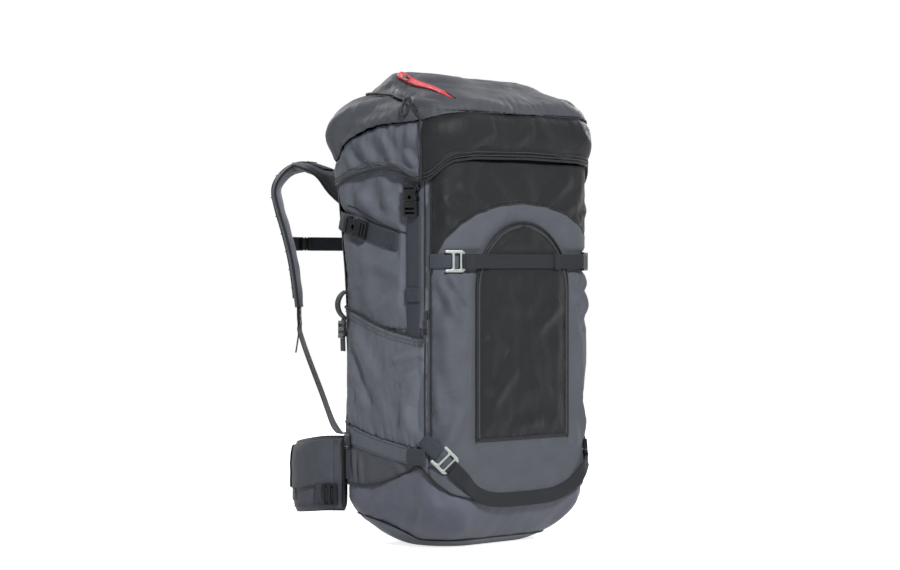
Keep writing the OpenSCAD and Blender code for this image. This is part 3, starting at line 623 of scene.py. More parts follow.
def side_relief(y, z, seed):
    h = 2.4 * noise(y / 75, z / 120, seed) + 1.1 * noise(y / 30, z / 64, seed + 1)
    h += 4.0 * smooth(np.abs(y + 2), 62, 12) * smooth(z, 300, 350)
    h += folds(y, z, SIDE_FOLDS)
    h += pucker(z, y + 84, 16, 1.8, 12, seed + 2) + pucker(z, 92 - y, 15, 1.7, 14, seed + 3)
    h += back_lean(y, z)
    strap = smooth(np.abs(y - LID_STRAP_Y), 26, 14) * smooth(z, 300, 330)
    near = smooth(np.abs(comp_off(y, z)), 26, 13) * smooth(y, -34, -20)
    h = h * (1 - np.maximum(strap, near)) - 0.5 * np.maximum(strap, near)
    h += pinch(comp_off(y, z) - 13.5, 2.2, 1.4) * smooth(y, -60, -44)
    h += pinch(y + 82, 3.2, 2.0) + pinch(y - 95, 4, 2.4)
    return np.where(z < 300, np.minimum(h, -0.4), h)


for side, flip, seed in SIDES:
    q, z = panel(Q_ZIP, Q_SEAM, base_seam, body_top, 116, 200)
    y = np.abs(run_round(q, z)) - SIDE_FROM
    pts, outs = body(q, z, side_relief(y, z, seed)) * flip
    cloth(side + "_side_cloth", pts, outs, stacked(y, z), "pack", "main_fabric", node=side + "_side_panel")
    y = np.linspace(-40, 74, 60)
    z = COMP_Z + (y - COMP_Y) * COMP_SLOPE + 16 + 10 * smooth(y, -10, 74)
    pts, outs = body(side_place(y, z), z, side_relief(y, z, seed) + 0.1) * flip
    piping(side + "_side_seam", pts, outs, 0.9, "main_fabric")

# Front panel, with the arched seam of its yoke above the pocket

FRONT_EDGE = 163
POCKET_HW = 88
POCKET_LOW = 150
POCKET_ARCH = 350
UPPER_Z = 390
YOKE = [(0, 470), (45, 466), (88, 455), (118, 440), (140, 420), (152, 398), (158, 372)]
FRONT_FOLDS = (
    (150, 366, 122, 306, 6, 5.0), (138, 372, 108, 330, 5, 4.2), (128, 374, 134, 316, 6, 3.8),
    (142, 330, 136, 214, 9, 4.6), (120, 292, 116, 196, 10, 4.2), (156, 240, 146, 168, 6, 3.4),
    (112, 200, 150, 130, 8, 4.6), (150, 470, 118, 452, 6, 2.2), (146, 500, 138, 430, 7, 2.4),
)
YOKE_FOLDS = (
    (-96, 512, -40, 464, 9, 3.4), (84, 510, 30, 462, 9, 3.2), (-124, 480, -60, 458, 8, 3.0),
    (20, 508, -24, 470, 10, 2.6), (128, 486, 70, 452, 8, 3.0), (-60, 132, 30, 112, 9, 2.2),
    (80, 140, 20, 96, 9, 2.0), (-104, 118, -40, 84, 9, 2.0),
)


def yoke_z(s):
    return soft_line(YOKE, np.abs(s), 0, 1)


def front_relief(s, z, seed):
    h = 2.2 * noise(s / 60, z / 120, seed) + 1.0 * noise(s / 26, z / 60, seed + 1)
    edge = FRONT_EDGE - np.abs(s)
    h += 3.0 * smooth(edge, 4, 34)
    h += folds(s, z, FRONT_FOLDS, BOTH) + folds(s, z, YOKE_FOLDS)
    h += pucker(z, edge, 13, 2.0, 11, seed + 2)
    off = z - yoke_z(s)
    h += pinch(off, 2.6, 1.8) + pucker(s, off, 12, 0.9, 9, seed + 3)
    strap = smooth(np.abs(z - UPPER_Z), 20, 11)
    h = h * (1 - strap) - 0.5 * strap
    reach = np.where(z < POCKET_ARCH, np.abs(s), np.hypot(s, z - POCKET_ARCH))
    inside = smooth(POCKET_HW - reach, -22, -5) * smooth(z, POCKET_LOW - 22, POCKET_LOW - 5)
    return lerp(h, np.minimum(h, -1.0), inside)


def yoke_line(q):
    return yoke_z(run_round(q, 300.0))


# The lower front takes the darker copy of the main cloth, painted shade against the key lamp; the yoke takes
# the dark cloth, painted shade of the board strapped across the front.
for label, low, high, rows, slot, look, node in (
    ("lower", base_seam, yoke_line, 170, "main_fabric", SHADED_FRONT, "front_panel"),
    ("yoke", yoke_line, body_top, 80, "dark_fabric", None, ()),
):
    q, z = panel(-Q_ZIP, Q_ZIP, low, high, 200, rows)
    s = run_round(q, z)
    pts, outs = body(q, z, front_relief(s, z, 5) + pinch(FRONT_EDGE - np.abs(s), 3, 2.2))
    cloth(f"front_{label}_cloth", pts, outs, stacked(s, z), "pack", slot, mat=look, node=node)
piping("front_yoke_cord", pts[:, 0] + outs[:, 0] * 0.8, outs[:, 0], 1.3)

# Back panel

q, z = panel(Q_SEAM, 10 - Q_SEAM, base_seam, body_top, 150, 160)
half_round = np.abs(run_round(np.full_like(z, 4.9999), z))
s = (half_round - np.abs(run_round(q, z))) * np.sign(run_round(q, z))
h = 0.8 * noise(s / 50, z / 90, 9) + 0.4 * noise(s / 20, z / 40, 10) + pinch(130 - np.abs(s), 4, 2.2)
covered = (np.abs(s) < 104) & (z < 460)
lean = edge_lean(z) * smooth(np.abs(s), 104, 128)
pts, outs = body(q, z, np.where(covered, np.minimum(h, 0) - 0.6, h - 0.4) + lean)
cloth("back_cloth", pts, outs, stacked(s, z), "pack", "dark_fabric", node="back_panel")

# Base panel, closed underneath

BASE_COLS = 340
FLOOR_ROWS = 12
BASE_FOLDS = (
    (246, 84, 288, 34, 8, 3.0), (226, 80, 266, 26, 7, 2.6), (182, 96, 158, 24, 9, 3.2),
    (166, 88, 140, 30, 7, 2.4), (120, 60, 92, 16, 9, 2.4), (206, 60, 186, 18, 8, 2.0),
)
q_line = np.linspace(0, 10, BASE_COLS, endpoint=False)
floor_mid = np.array([0, -4.0, 0])
rim = body(q_line, 0.0)[0] - floor_mid
columns = [floor_mid + rim * level for level in np.linspace(0.0, 0.96, FLOOR_ROWS)]
out_dirs = [np.zeros_like(rim) + (0, 0, -1.0)] * FLOOR_ROWS
flats = [column[:, :2] for column in columns]
foot_z = FOOT_H * (1 - np.cos(np.linspace(0, math.pi / 2, 22)))
top = base_seam(q_line)
low = np.minimum(FOOT_H, top - 8)
heights = [z_at * low / FOOT_H for z_at in foot_z]
heights += [lerp(low, top, step / 13) for step in np.linspace(1, 13, 12)]
for z in heights:
    s = run_round(q_line, z)
    h = 1.3 * noise(s / 46, z / 40, 21) + 0.6 * noise(s / 18, z / 26, 22)
    h += folds(s, z, BASE_FOLDS, BOTH)
    h += pucker(s, top - z, 12, 1.5, 10, 23)
    h = h * smooth(z, 0, 14) + pinch(top - z, 3.5, 1.2) - 0.4
    pts, outs = body(q_line, z, h)
    columns.append(pts)
    out_dirs.append(outs)
    flats.append(stacked(s, z))
pts, outs, flat = (np.stack(rows, 1) for rows in (columns, out_dirs, flats))
cloth("base_cloth", pts, outs, flat, "pack", "base_fabric", thick=2.4, closed=True, node="base_panel")


def foot_line(q):
    """Height of the seam round the bottom panel, which rises towards the back."""
    return 11 + 31 * smooth(half_turn(q)[0], 1.9, 3.3)


q_line = np.linspace(0, 10, 400)
for label, line, out, r in (("seam", base_seam, 0.6, 1.7), ("foot", foot_line, 0.2, 1.5)):
    piping(f"base_{label}_piping", body(q_line, line(q_line), out)[0], (0, 0, 1), r, "base_fabric")

# The lid. A place on it is q round the rim and t up its profile

LID_RISE = np.array([0, 30, 57, 87, 106, 121, 141, 147.0])
LID_OUT = np.array([0, 1, 7, 0, -17, -41, -61, -78.0])


def along_profile(values, t):
    ext = np.concatenate([[2 * values[0] - values[1]], values, [2 * values[-1] - values[-2]]])
    k = np.clip(np.floor(t), 0, len(values) - 2).astype(int)
    curve = cubic(ext[k], ext[k + 1], ext[k + 2], ext[k + 3], t - k)
    return np.where(t < 0, values[0] + t * (values[1] - values[0]), curve)


def lid(q, t, off=0.0):
    """Points and outward directions on the lid, as one array."""
    q, t = np.broadcast_arrays(np.asarray(q, float), np.asarray(t, float))
    rise, out = along_profile(LID_RISE, t), along_profile(LID_OUT, t)
    d_rise = along_profile(LID_RISE, t + 0.02) - along_profile(LID_RISE, t - 0.02)
    d_out = along_profile(LID_OUT, t + 0.02) - along_profile(LID_OUT, t - 0.02)
    size = np.hypot(d_rise, d_out)
    x, y, nx, ny = ring(q, LID_HW + out, LID_F + out, LID_B + out, LID_R + 0.35 * out)
    outs = stacked(nx * d_rise / size, ny * d_rise / size, -d_out / size)
    pts = stacked(x, y, LID_HEM + rise)
    return np.stack([pts + outs * np.asarray(off)[..., None], outs])


def profile_place(rise):
    """Place t on the profile at a rise above the hem."""
    return np.where(rise < 0, rise / LID_RISE[1], np.interp(rise, LID_RISE, np.arange(len(LID_RISE))))


def lid_seam(table, smoothing=0.05):
    """A seam round the lid, given as rises above the hem, as a function from q to t."""
    return lambda q: profile_place(soft_line(table, half_turn(q)[0], smoothing))


def lid_run(q):
    """Distance round the lid's widest rim from the front middle, negative on the right."""
    p, left = half_turn(q)
    turn = LID_R * math.pi / 2
    steps = np.cumsum([0, LID_HW - LID_R, turn, LID_F + LID_B - 2 * LID_R, turn, LID_HW - LID_R])
    return left * np.interp(p, np.arange(6), steps)


hem_t = lid_seam([
    (0, 24), (1.0, 22), (1.36, 18), (1.5, 11), (1.72, -6), (1.85, -9), (1.98, -8), (2.08, -4), (2.19, 3),
    (2.35, 8), (2.54, 10), (2.75, 6), (3.0, -2), (3.16, -8), (3.5, -10), (5, -9),
])
crease_t = lid_seam([
    (0, 87), (1.2, 86), (1.5, 82), (1.85, 74), (2.0, 72), (2.3, 71), (2.5, 69), (2.7, 62), (2.88, 51),
    (3.1, 36), (3.3, 26), (3.6, 22), (5, 22),
])
hood_t = lid_seam([
    (0, 70), (1.84, 72), (1.95, 80), (2.03, 90), (2.19, 102.6), (2.47, 111), (2.86, 115.5), (3.2, 117),
    (5, 118),
], 0.03)


def crown_t(q, gap=0.0):
    """Seam between the top panel and what lies below it."""
    return np.maximum(hood_t(q), crease_t(q) + gap)


Q_HOOD = 1.86
LID_CORNER = 178
PROFILE_STEP = 28

# Rough heights of the lid's cloths, which turn a share of the way up into millimetres
SKIRT_TALL, HOOD_TALL, TOP_TALL = 60, 70, 60
SKIRT_FOLDS = (
    (-150, 30, -96, 66, 9, 3.2), (-92, 28, -20, 58, 9, 2.8), (120, 26, 64, 62, 9, 3.0),
    (30, 34, -8, 70, 9, 2.4),
)
SKIRT_SIDE_FOLDS = (
    (190, 14, 212, 34, 5, 3.2), (198, 36, 196, 66, 5, 2.2), (232, 14, 252, 60, 6, 3.0),
    (270, 16, 296, 52, 7, 3.2), (306, 10, 330, 38, 6, 3.0),
)
HOOD_FOLDS = (
    (206, 92, 268, 94, 6, 4.0), (214, 82, 300, 72, 7, 4.2), (262, 104, 330, 96, 7, 3.4),
    (262, 66, 340, 44, 6, 3.6), (318, 92, 366, 60, 9, 3.8), (300, 56, 336, 34, 5, 3.0),
    (420, 98, 400, 46, 9, 3.0),
)
TOP_FOLDS = (
    (206, 112, 300, 124, 4, 3.6), (214, 108, 262, 116, 3.5, 3.0), (150, 96, 214, 108, 4, 3.4),
    (130, 104, 186, 114, 4, 2.8), (250, 126, 330, 132, 4, 2.4), (20, 96, 120, 104, 6, 2.4),
)
ZIP_Q = [1.33, 1.5, 1.67, 1.83, 2.0, 2.25, 2.5, 2.72, 2.93]
ZIP_RISE = [98, 108, 116, 121, 124, 128.5, 133, 136.5, 139.5]


def skirt_relief(s, rise, v, q):
    side_part = smooth(np.abs(s), 168, 192)
    gather = noise(s / 9.5, v * 1.4, 31) + 0.7 * noise(s / 19, v * 0.9, 32)
    h = gather * (0.4 + 1.9 * smooth(v, 0.25, 0.95)) * (0.3 + 0.7 * side_part)
    h += 1.6 * noise(s / 60, v, 33)
    h += folds(s, rise, SKIRT_FOLDS) + folds(s, rise, SKIRT_SIDE_FOLDS, BOTH)
    h += pinch(v * SKIRT_TALL, 5, 1.6) + pinch((1 - v) * SKIRT_TALL, 7, 4.2) - 1.0
    h += pinch((v - 0.2) * SKIRT_TALL, 2.2, 1.0)
    for sign in BOTH:
        h += 1.4 * np.exp(-(((s - sign * LID_CORNER) / 2.4) ** 2))
        h += pinch(s - sign * (LID_CORNER + 5), 2.6, 1.4)
    return h


def hood_relief(s, rise, v, q):
    puff = np.sin(np.pi * np.clip(v, 0, 1) ** 0.75) ** 0.7
    ends = smooth(np.abs(np.abs(s) - 350), 176, 120)
    h = (6.5 * puff - 2.5) * (0.35 + 0.65 * ends)
    h += 2.0 * noise(s / 60, rise / 26, 41) * puff + 1.0 * noise(s / 24, rise / 15, 42) * puff
    h += folds(s, rise, HOOD_FOLDS, BOTH)
    h += pucker(s, v * HOOD_TALL, 9, 3.0, 13, 43)
    return h + pucker(s, (1 - v) * HOOD_TALL, 8, 1.8, 9, 44)


def top_relief(s, rise, v, q):
    h = 1.5 * noise(s / 70, rise / 12, 51) + 0.6 * noise(s / 34, rise / 8, 52)
    h += folds(s, rise, TOP_FOLDS, BOTH)
    h += pucker(s, v * TOP_TALL, 9, 1.6, 9, 53)
    h += pinch(v * TOP_TALL, 5, 2.6) - 0.6
    flat = np.exp(-(((rise - np.interp(q, ZIP_Q, ZIP_RISE)) / 7) ** 2))
    flat *= smooth(q, 1.5, 1.8) * smooth(q, 3.2, 3.0)
    return h * (1 - 0.9 * flat) * smooth(1 - v, 0, 0.12)


def lid_sheet(q_line, t_low, t_high, rows, relief):
    """Points, outward directions and flat map of cloth between two seams of the lid."""
    q, v = grid(q_line, np.linspace(0, 1, rows))
    t = lerp(t_low[:, None], t_high[:, None], v)
    s = lid_run(q)
    pts, outs = lid(q, t, relief(s, along_profile(LID_RISE, t), v, q))
    return pts, outs, stacked(s, t * PROFILE_STEP)


# The skirt's rear is the main cloth; its front part takes the dark cloth, painted shade of the board strapped
# across the front.
for label, q_from, q_to, slot, count, node in (
    ("rear", Q_HOOD, 10 - Q_HOOD, "main_fabric", 320, "lid_skirt"),
    ("front", -Q_HOOD, Q_HOOD, "dark_fabric", 150, ()),
):
    q_line = np.linspace(q_from, q_to, count)
    sheet = lid_sheet(q_line, hem_t(q_line), crease_t(q_line), 44, skirt_relief)
    cloth(f"lid_skirt_{label}", *sheet, "lid", slot, node=node)
for side, flip, seed in SIDES:
    t = np.linspace(float(hem_t(Q_HOOD)), float(crease_t(Q_HOOD)), 40)
    pts, outs = lid(Q_HOOD, t, 0.9) * flip
    piping(side + "_lid_corner_seam", pts, outs, 1.2, body="lid")
q_line = np.linspace(Q_HOOD, 10 - Q_HOOD, 330)
sheet = lid_sheet(q_line, crease_t(q_line), crown_t(q_line, 0.02), 46, hood_relief)
# The hood takes the darker copy of the main cloth: painted shade where the key lamp lights its top.
cloth("lid_hood_cloth", *sheet, "lid", "main_fabric", mat=SHADED_HOOD, node="lid_hood")


def crown_drop(p):
    """The filled lid stands highest over its back left edge and falls towards the front right."""
    fall = np.clip(-0.1 * (p[..., 0] - p[..., 1] + 105), -11, 3.5)
    return fall * smooth(p[..., 2], LID_HEM + 112, LID_HEM + 142)


# The top panel closes over the middle of the lid
TOP_COLS = 420
q_line = np.linspace(0, 10, TOP_COLS, endpoint=False)
profile_end = np.full(TOP_COLS, len(LID_RISE) - 1.0)
rim_pts, rim_outs = lid_sheet(q_line, crown_t(q_line), profile_end, 60, top_relief)[:2]
rim_pts[..., 2] += crown_drop(rim_pts)
top_mid = np.array([0, 4, LID_HEM + LID_RISE[-1] - 5.0])
crown = []
for k in np.linspace(0.96, 0.0, 16):
    ring_pts = top_mid + (rim_pts[:, -1] - top_mid) * k
    x, y = ring_pts[:, 0], ring_pts[:, 1]
    ring_pts[:, 2] += 1.8 * noise((x - y) / 30, (x + y) / 60, 55) * (1 - k) * min(1, 4 * k)
    crown.append(ring_pts)
crown = np.stack(crown, 1)
pts = np.concatenate([rim_pts, crown], 1)
outs = np.concatenate([rim_outs, np.zeros_like(crown) + (0, 0, 1.0)], 1)
flat = stacked(pts[..., 0] + pts[..., 1] * 0.2, pts[..., 1] + pts[..., 2])
cloth("lid_top_cloth", pts, outs, flat, "lid", "top_fabric", closed=True, node="lid_top_panel")

# Piping and stitching of the lid's seams; the hem's binding ends where the lid folds over the back

HEM_END_Y = 104
for label, q_from in (("left", Q_HOOD), ("right", 10 - Q_HOOD)):
    q_line = np.linspace(q_from, 5.0, 150)
    piping("lid_hood_piping_" + label, *lid(q_line, crown_t(q_line), 0.2), 1.9, "main_fabric", "lid")
q_line = np.linspace(-5, 5, 420)
pts, outs = lid(q_line, hem_t(q_line) + 0.02, -0.6)
clear = pts[:, 1] < HEM_END_Y
piping("lid_hem_binding", pts[clear], outs[clear], 1.5, body="lid")
q_line = np.linspace(0, 10, 420)
for label, up in (("low", 0.16), ("high", 0.32)):
    row = lid(q_line, hem_t(q_line) + up, 0.35)
    sweep("lid_hem_ridge_" + label, *row, round_section(0.55, 6), "lid", "dark_fabric", THREAD)

# The lid zip: a bright lining that swells at the back, with a dark coil beside it


def lid_zip_line(off, count, drop=0.0):
    t_line = profile_place(np.array(ZIP_RISE[::-1]) - drop)
    pts, outs = lid(np.array(ZIP_Q[::-1]), t_line, off)
    both = spline(np.hstack([pts, outs]), count)
    return both[:, :3], unit(both[:, 3:])


pts, outs = lid_zip_line(1.6, 120)
pts[:, 2] += crown_drop(pts)
along = np.linspace(0, 1, 120)
wide = (2.2 + 3.6 * (1 - along) ** 0.8) * (smooth(along, -0.02, 0.05) * smooth(along, 1.0, 0.8) + 0.03)
swell = stacked(wide * 0.7, wide)
sweep("lid_zip_lining", pts, outs, round_section(1.0, 16), "lid", "red_zip", node="lid_zip", scale=swell)
pts, outs = lid_zip_line(1.2, 120, -4.4)
pts[:, 2] += crown_drop(pts)
sweep("lid_zip_coil", pts[10:], outs[10:], round_section(1.3, 8), "lid", "zip_coil")

# Stretch side pockets and the coarse bands under them

POCKET_TOP = [(-80, 286.5), (-48, 290), (-8, 297), (28, 308), (56, 318), (80, 325), (110, 330)]
POCKET_FOOT = [(-80, 139), (-42, 139.5), (8, 147.5), (42, 155), (73, 165), (110, 176)]
STRIP_FOOT = [(-80, 117), (-42, 117), (-18, 119.5), (24, 127), (56, 134), (73, 139), (110, 148)]
POCKET_FROM, POCKET_TO = -76, 97
HEM_SEAMS = (0.925, 0.955)
POCKET_COLS, POCKET_ROWS, BAND_ROWS, STRIP_ROWS = 118, 120, 50, 22
POCKET_FOLDS = (
    (66, 298, 14, 200, 8, 4.2), (52, 286, 2, 214, 7, 3.0), (74, 262, 34, 186, 7, 3.2),
    (80, 300, 70, 176, 6, 2.0), (-72, 270, -20, 256, 5, 3.4), (-72, 256, -34, 224, 5, 3.0),
    (-70, 240, -60, 160, 6, -3.2), (-66, 148, -36, 206, 7, 2.4), (-20, 152, 8, 220, 9, 2.2),
    (56, 168, 34, 222, 7, 2.2), (-50, 196, -30, 150, 8, 2.4),
)
BAND_FOLDS = (
    (62, 84, 66, 132, 3.5, 3.0), (50, 84, 52, 126, 3.5, 2.6), (74, 86, 78, 140, 4, 2.4),
    (-40, 102, -16, 118, 5, 2.2),
)


def pocket_relief(y, z, v, seed):
    h = 1.4 + 7.4 * np.sin(np.pi * np.clip(v, 0, 1) ** 0.85) ** 0.7 * smooth(y, -67, -38) * smooth(y, 92, 60)
    h += 1.8 * noise(y / 46, z / 70, seed) + 1.2 * noise(y / 17, z / 38, seed + 1)
    h += 0.45 * noise(y / 7, z / 19, seed + 3)
    h += folds(y, z, POCKET_FOLDS)
    foot = z - soft_line(POCKET_FOOT, y)
    h += pucker(y, foot, 8, 3.6, 12, seed + 2) + pinch(foot, 4, 1.4)
    h += pinch(y - POCKET_FROM, 3, 3.0) + pinch(y - POCKET_TO, 4, 3.0)
    return h + 1.8 * smooth(v, 0.9, 1.0)


def band_relief(y, z, v, seed):
    h = 2.0 + 0.9 * noise(y / 40, z / 30, seed + 11) + 0.5 * noise(y / 15, z / 18, seed + 12)
    h += folds(y, z, BAND_FOLDS)
    return h + pinch(v * 40, 3, 1.2) + pinch(y - POCKET_FROM, 3, 2.2) + pinch(y - POCKET_TO, 4, 2.4)


def strip_relief(y, z, v, seed):
    h = 3.4 + 0.5 * noise(y / 34, z / 24, seed + 13) - 1.2 * (2 * v - 1) ** 6
    return h + pinch(y - POCKET_TO, 4, 2.4)


y_line = np.linspace(POCKET_FROM, POCKET_TO, POCKET_COLS)
foot_z = soft_line(POCKET_FOOT, y_line)
foot_q = side_place(y_line, foot_z)


def band_sheet(name, z_low, z_high, rows, relief, seed, flip, slot, q_line=foot_q, **settings):
    """Cloth on the lower side between two heights, with its points and outward directions."""
    y, v = grid(y_line, np.linspace(0, 1, rows))
    z = lerp(z_low[:, None], z_high[:, None], v)
    q = side_place(y, z) if q_line is None else q_line[:, None]
    pts, outs = body(q, z, relief(y, z, v, seed + 60) + back_lean(y, z)) * flip
    cloth(name, pts, outs, stacked(y, z), "pack", slot, **settings)
    return pts, outs, v[0]


for side, flip, seed in SIDES:
    pts, outs, v = band_sheet(
        side + "_pocket_cloth", foot_z, soft_line(POCKET_TOP, y_line), POCKET_ROWS, pocket_relief, seed, flip,
        "stretch_fabric", None, thick=1.4, node=side + "_side_pocket",
    )
    piping(side + "_pocket_binding", pts[:, -1], outs[:, -1], 1.5, "stretch_fabric")
    lines = [(pts[:, k], outs[:, k]) for k in (np.argmin(np.abs(v - at)) for at in HEM_SEAMS)]
    stitches(side + "_pocket_stitching", lines, "stretch_fabric", step=4.4, lift=0.0)
    piping(side + "_pocket_foot_cord", pts[:, 0] + outs[:, 0] * 0.6, outs[:, 0], 1.3, "band_fabric")

    # Cloth from the pocket's foot down to the base seam, and the wide strip sewn over its upper part
    band_sheet(
        side + "_band_cloth", base_seam(foot_q) + 0.5, foot_z + 1, BAND_ROWS, band_relief, seed, flip,
        "dark_fabric", mat=UNDER, node=first(side, "lower_bands"),
    )
    pts, outs, v = band_sheet(
        side + "_strip_cloth", soft_line(STRIP_FOOT, y_line), foot_z + 0.6, STRIP_ROWS, strip_relief, seed,
        flip, "band_fabric", thick=1.8,
    )
    lines = [(pts[:, k] + outs[:, k] * 0.1, outs[:, k]) for k in (2, STRIP_ROWS - 3)]
    stitches(side + "_strip_stitching", lines, "band_fabric", step=3.8, length=2.6)

# Side zips: a welt between two dark cords

ZIP_LOW = 134
ZIP_HIGH = 520
z = np.linspace(ZIP_LOW, ZIP_HIGH, 160)


def q_arc(run):
    """Place on the front left corner at a run from the zip's middle."""
    return q_corner(ZIP_A + run / CORNER_R * 180 / math.pi)


for side, flip, seed in SIDES:
    wander = 0.5 * noise(z / 60, 0.3, seed + 81)
    for label, at in (("rear", -4.6), ("front", 4.4)):
        pts, outs = body(q_arc(at + wander), z, -0.6) * flip
        piping(f"{side}_zip_cord_{label}", pts, outs, 1.35, "zip_coil")
    across = np.linspace(-4.2, 4.0, 9)[:, None]
    lift = 0.6 * (1 - (across / 4.4) ** 2) - 0.9 + 0.3 * noise(z / 14, across / 9, seed + 82)
    pts, outs = body(q_arc(across + wander), z, lift) * flip
    cloth(
        side + "_zip_welt", pts, outs, stacked(across, z[None, :]), "pack", "zip_coil", mat=UNDER,
        node=side + "_side_zip",
    )

# Front pocket: a padded panel with a zip round its arch

FRONT_POCKET_FOLDS = (
    (-70, 200, -20, 250, 9, 3.8), (72, 330, 20, 290, 9, 3.6), (-60, 340, 10, 322, 8, 3.0),
    (66, 190, 10, 222, 9, 3.6), (-30, 165, 36, 172, 8, 3.0), (-74, 290, -34, 268, 7, 3.2),
)
OUTWARD = (0, -1.0, 0)
z_line = np.concatenate([
    np.linspace(POCKET_LOW, POCKET_ARCH, 90, endpoint=False),
    POCKET_ARCH + POCKET_HW * np.sin(np.linspace(0, math.pi / 2 * 0.985, 60)),
])
u, z = grid(np.linspace(-1, 1, 110), z_line)
half = np.where(z < POCKET_ARCH, POCKET_HW, np.sqrt(np.maximum(POCKET_HW**2 - (z - POCKET_ARCH) ** 2, 0)))
x = u * half
edge = np.minimum(half - np.abs(x), z - POCKET_LOW)
h = 2.2 + 5.6 * smooth(edge, 0, 26) + 2.0 * noise(x / 52, z / 80, 91) * smooth(edge, 0, 20)
h += 1.0 * noise(x / 19, z / 40, 92)
h += folds(x, z, FRONT_POCKET_FOLDS)
h += pucker(x + z, edge, 9, 1.6, 9, 93)
strap = smooth(np.abs(z - UPPER_Z), 24, 11)
h = h * (1 - strap) + np.minimum(h, 5.2) * strap
pts = stacked(x, -FRONT_D - h, z)
outs = np.zeros_like(pts) + OUTWARD
cloth("front_pocket_cloth", pts, outs, stacked(x, z), "pack", "dark_fabric", thick=1.4, node="front_pocket")
turn = np.linspace(0, math.pi, 90)
legs = np.linspace(POCKET_LOW, POCKET_ARCH, 61)[:-1]
arch = np.concatenate([
    stacked(-POCKET_HW, legs),
    stacked(-POCKET_HW * np.cos(turn), POCKET_ARCH + POCKET_HW * np.sin(turn)),
    stacked(POCKET_HW, np.linspace(POCKET_ARCH, POCKET_LOW, 60)[1:]),
])
mid = np.array([0, (POCKET_LOW + POCKET_ARCH) / 2])
for label, grow, r, slot, mat in (
    ("coil", (0.985, 0.992), 2.0, "zip_coil", None), ("cord", (1.03, 1.03), 1.4, "dark_fabric", PIPING),
):
    line = mid + (arch - mid) * grow
    path = stacked(line[:, 0], -FRONT_D - 2.0, line[:, 1])
    sweep("front_pocket_" + label, path, OUTWARD, round_section(r), "pack", slot, mat)
path = stacked(np.linspace(-POCKET_HW, POCKET_HW, 40), -FRONT_D - 1.8, POCKET_LOW)
piping("front_pocket_foot", path, OUTWARD, 1.6)

# Hardware: plates with rounded edges, cut from outlines


def vec(*p):
    return np.array(p, float)


class Place:
    """A local frame: u across, v along, n outward, in millimetres."""

    def __init__(self, origin, v, n):
        self.origin = vec(*origin)
        self.v = unit(vec(*v))
        self.n = unit(vec(*n))
        self.u = np.cross(self.v, self.n)

    def at(self, u, v, n):
        return self.origin + self.u * u + self.v * v + self.n * n

    def line(self, *rows):
        """Points along the middle, given as v and n."""
        return [self.at(0, v, n) for v, n in rows]

    def moved(self, v, n):
        return Place(self.at(0, v, n), self.v, self.n)

    def on(self, side):
        """This place, or its mirror image on the right."""
        return self if side == "left" else Place(self.origin * MIRROR, self.v * MIRROR, self.n * MIRROR)


def both_places(place):
    return [(side, place.on(side), flip) for side, flip, seed in SIDES]


def rounded(points, r, steps=4):
    """Outline with its corners rounded."""
    pts = [vec(*p) for p in points]
    out = []
    for k, p in enumerate(pts):
        a, b = pts[k - 1] - p, pts[(k + 1) % len(pts)] - p
        cut = min(r, 0.45 * np.linalg.norm(a), 0.45 * np.linalg.norm(b))
        p0, p1 = p + unit(a) * cut, p + unit(b) * cut
        for t in np.linspace(0, 1, steps):
            out.append((1 - t) ** 2 * p0 + 2 * t * (1 - t) * p + t * t * p1)
    return out


def rect(u0, v0, u1, v1, r, steps=4):
    return rounded([(u0, v0), (u1, v0), (u1, v1), (u0, v1)], r, steps)


def flipped(points):
    return [(-u, v) for u, v in reversed(points)]


def plates(name, place, layers, body, node=(), slot="black_plastic"):
    """Flat layers (outline, holes, n from, n to, edge), each cut out with rounded edges, as one piece."""
    verts, faces = [], []
    for outline, holes, n_low, n_high, edge in layers:
        curve = bpy.data.curves.new("outline", "CURVE")
        curve.dimensions = "2D"
        curve.fill_mode = "BOTH"
        curve.extrude = max((n_high - n_low) / 2 - edge, 0.01)
        curve.bevel_depth = edge
        curve.bevel_resolution = 2
        curve.offset = -edge
        for loop in [outline] + holes:
            line = curve.splines.new("POLY")
            line.points.add(len(loop) - 1)
            for point, p in zip(line.points, loop):
                point.co = (p[0], p[1], 0, 1)
            line.use_cyclic_u = True
        holder = bpy.data.objects.new("outline", curve)
        bpy.context.scene.collection.objects.link(holder)
        cut = evaluated_mesh(holder)
        base = len(verts)
        mid = (n_low + n_high) / 2
        verts += [place.at(p.co.x, p.co.y, p.co.z + mid) for p in cut.vertices]
        faces += [tuple(base + k for k in f.vertices) for f in cut.polygons]
        bpy.data.objects.remove(holder)
        bpy.data.curves.remove(curve)
        bpy.data.meshes.remove(cut)
    obj = add_piece(name, verts, faces, body, slot, node=node)
    weld = obj.modifiers.new("weld", "WELD")
    weld.merge_threshold = 0.00002
    obj.data.set_sharp_from_angle(angle=math.radians(40))


def evaluated_mesh(obj):
    """A new mesh of the object with its modifiers."""
    bpy.context.view_layer.update()
    return bpy.data.meshes.new_from_object(obj.evaluated_get(bpy.context.evaluated_depsgraph_get()))


BUCKLE_T = 9
SOCKET_LEN = 20
PLUG_LEN = 20


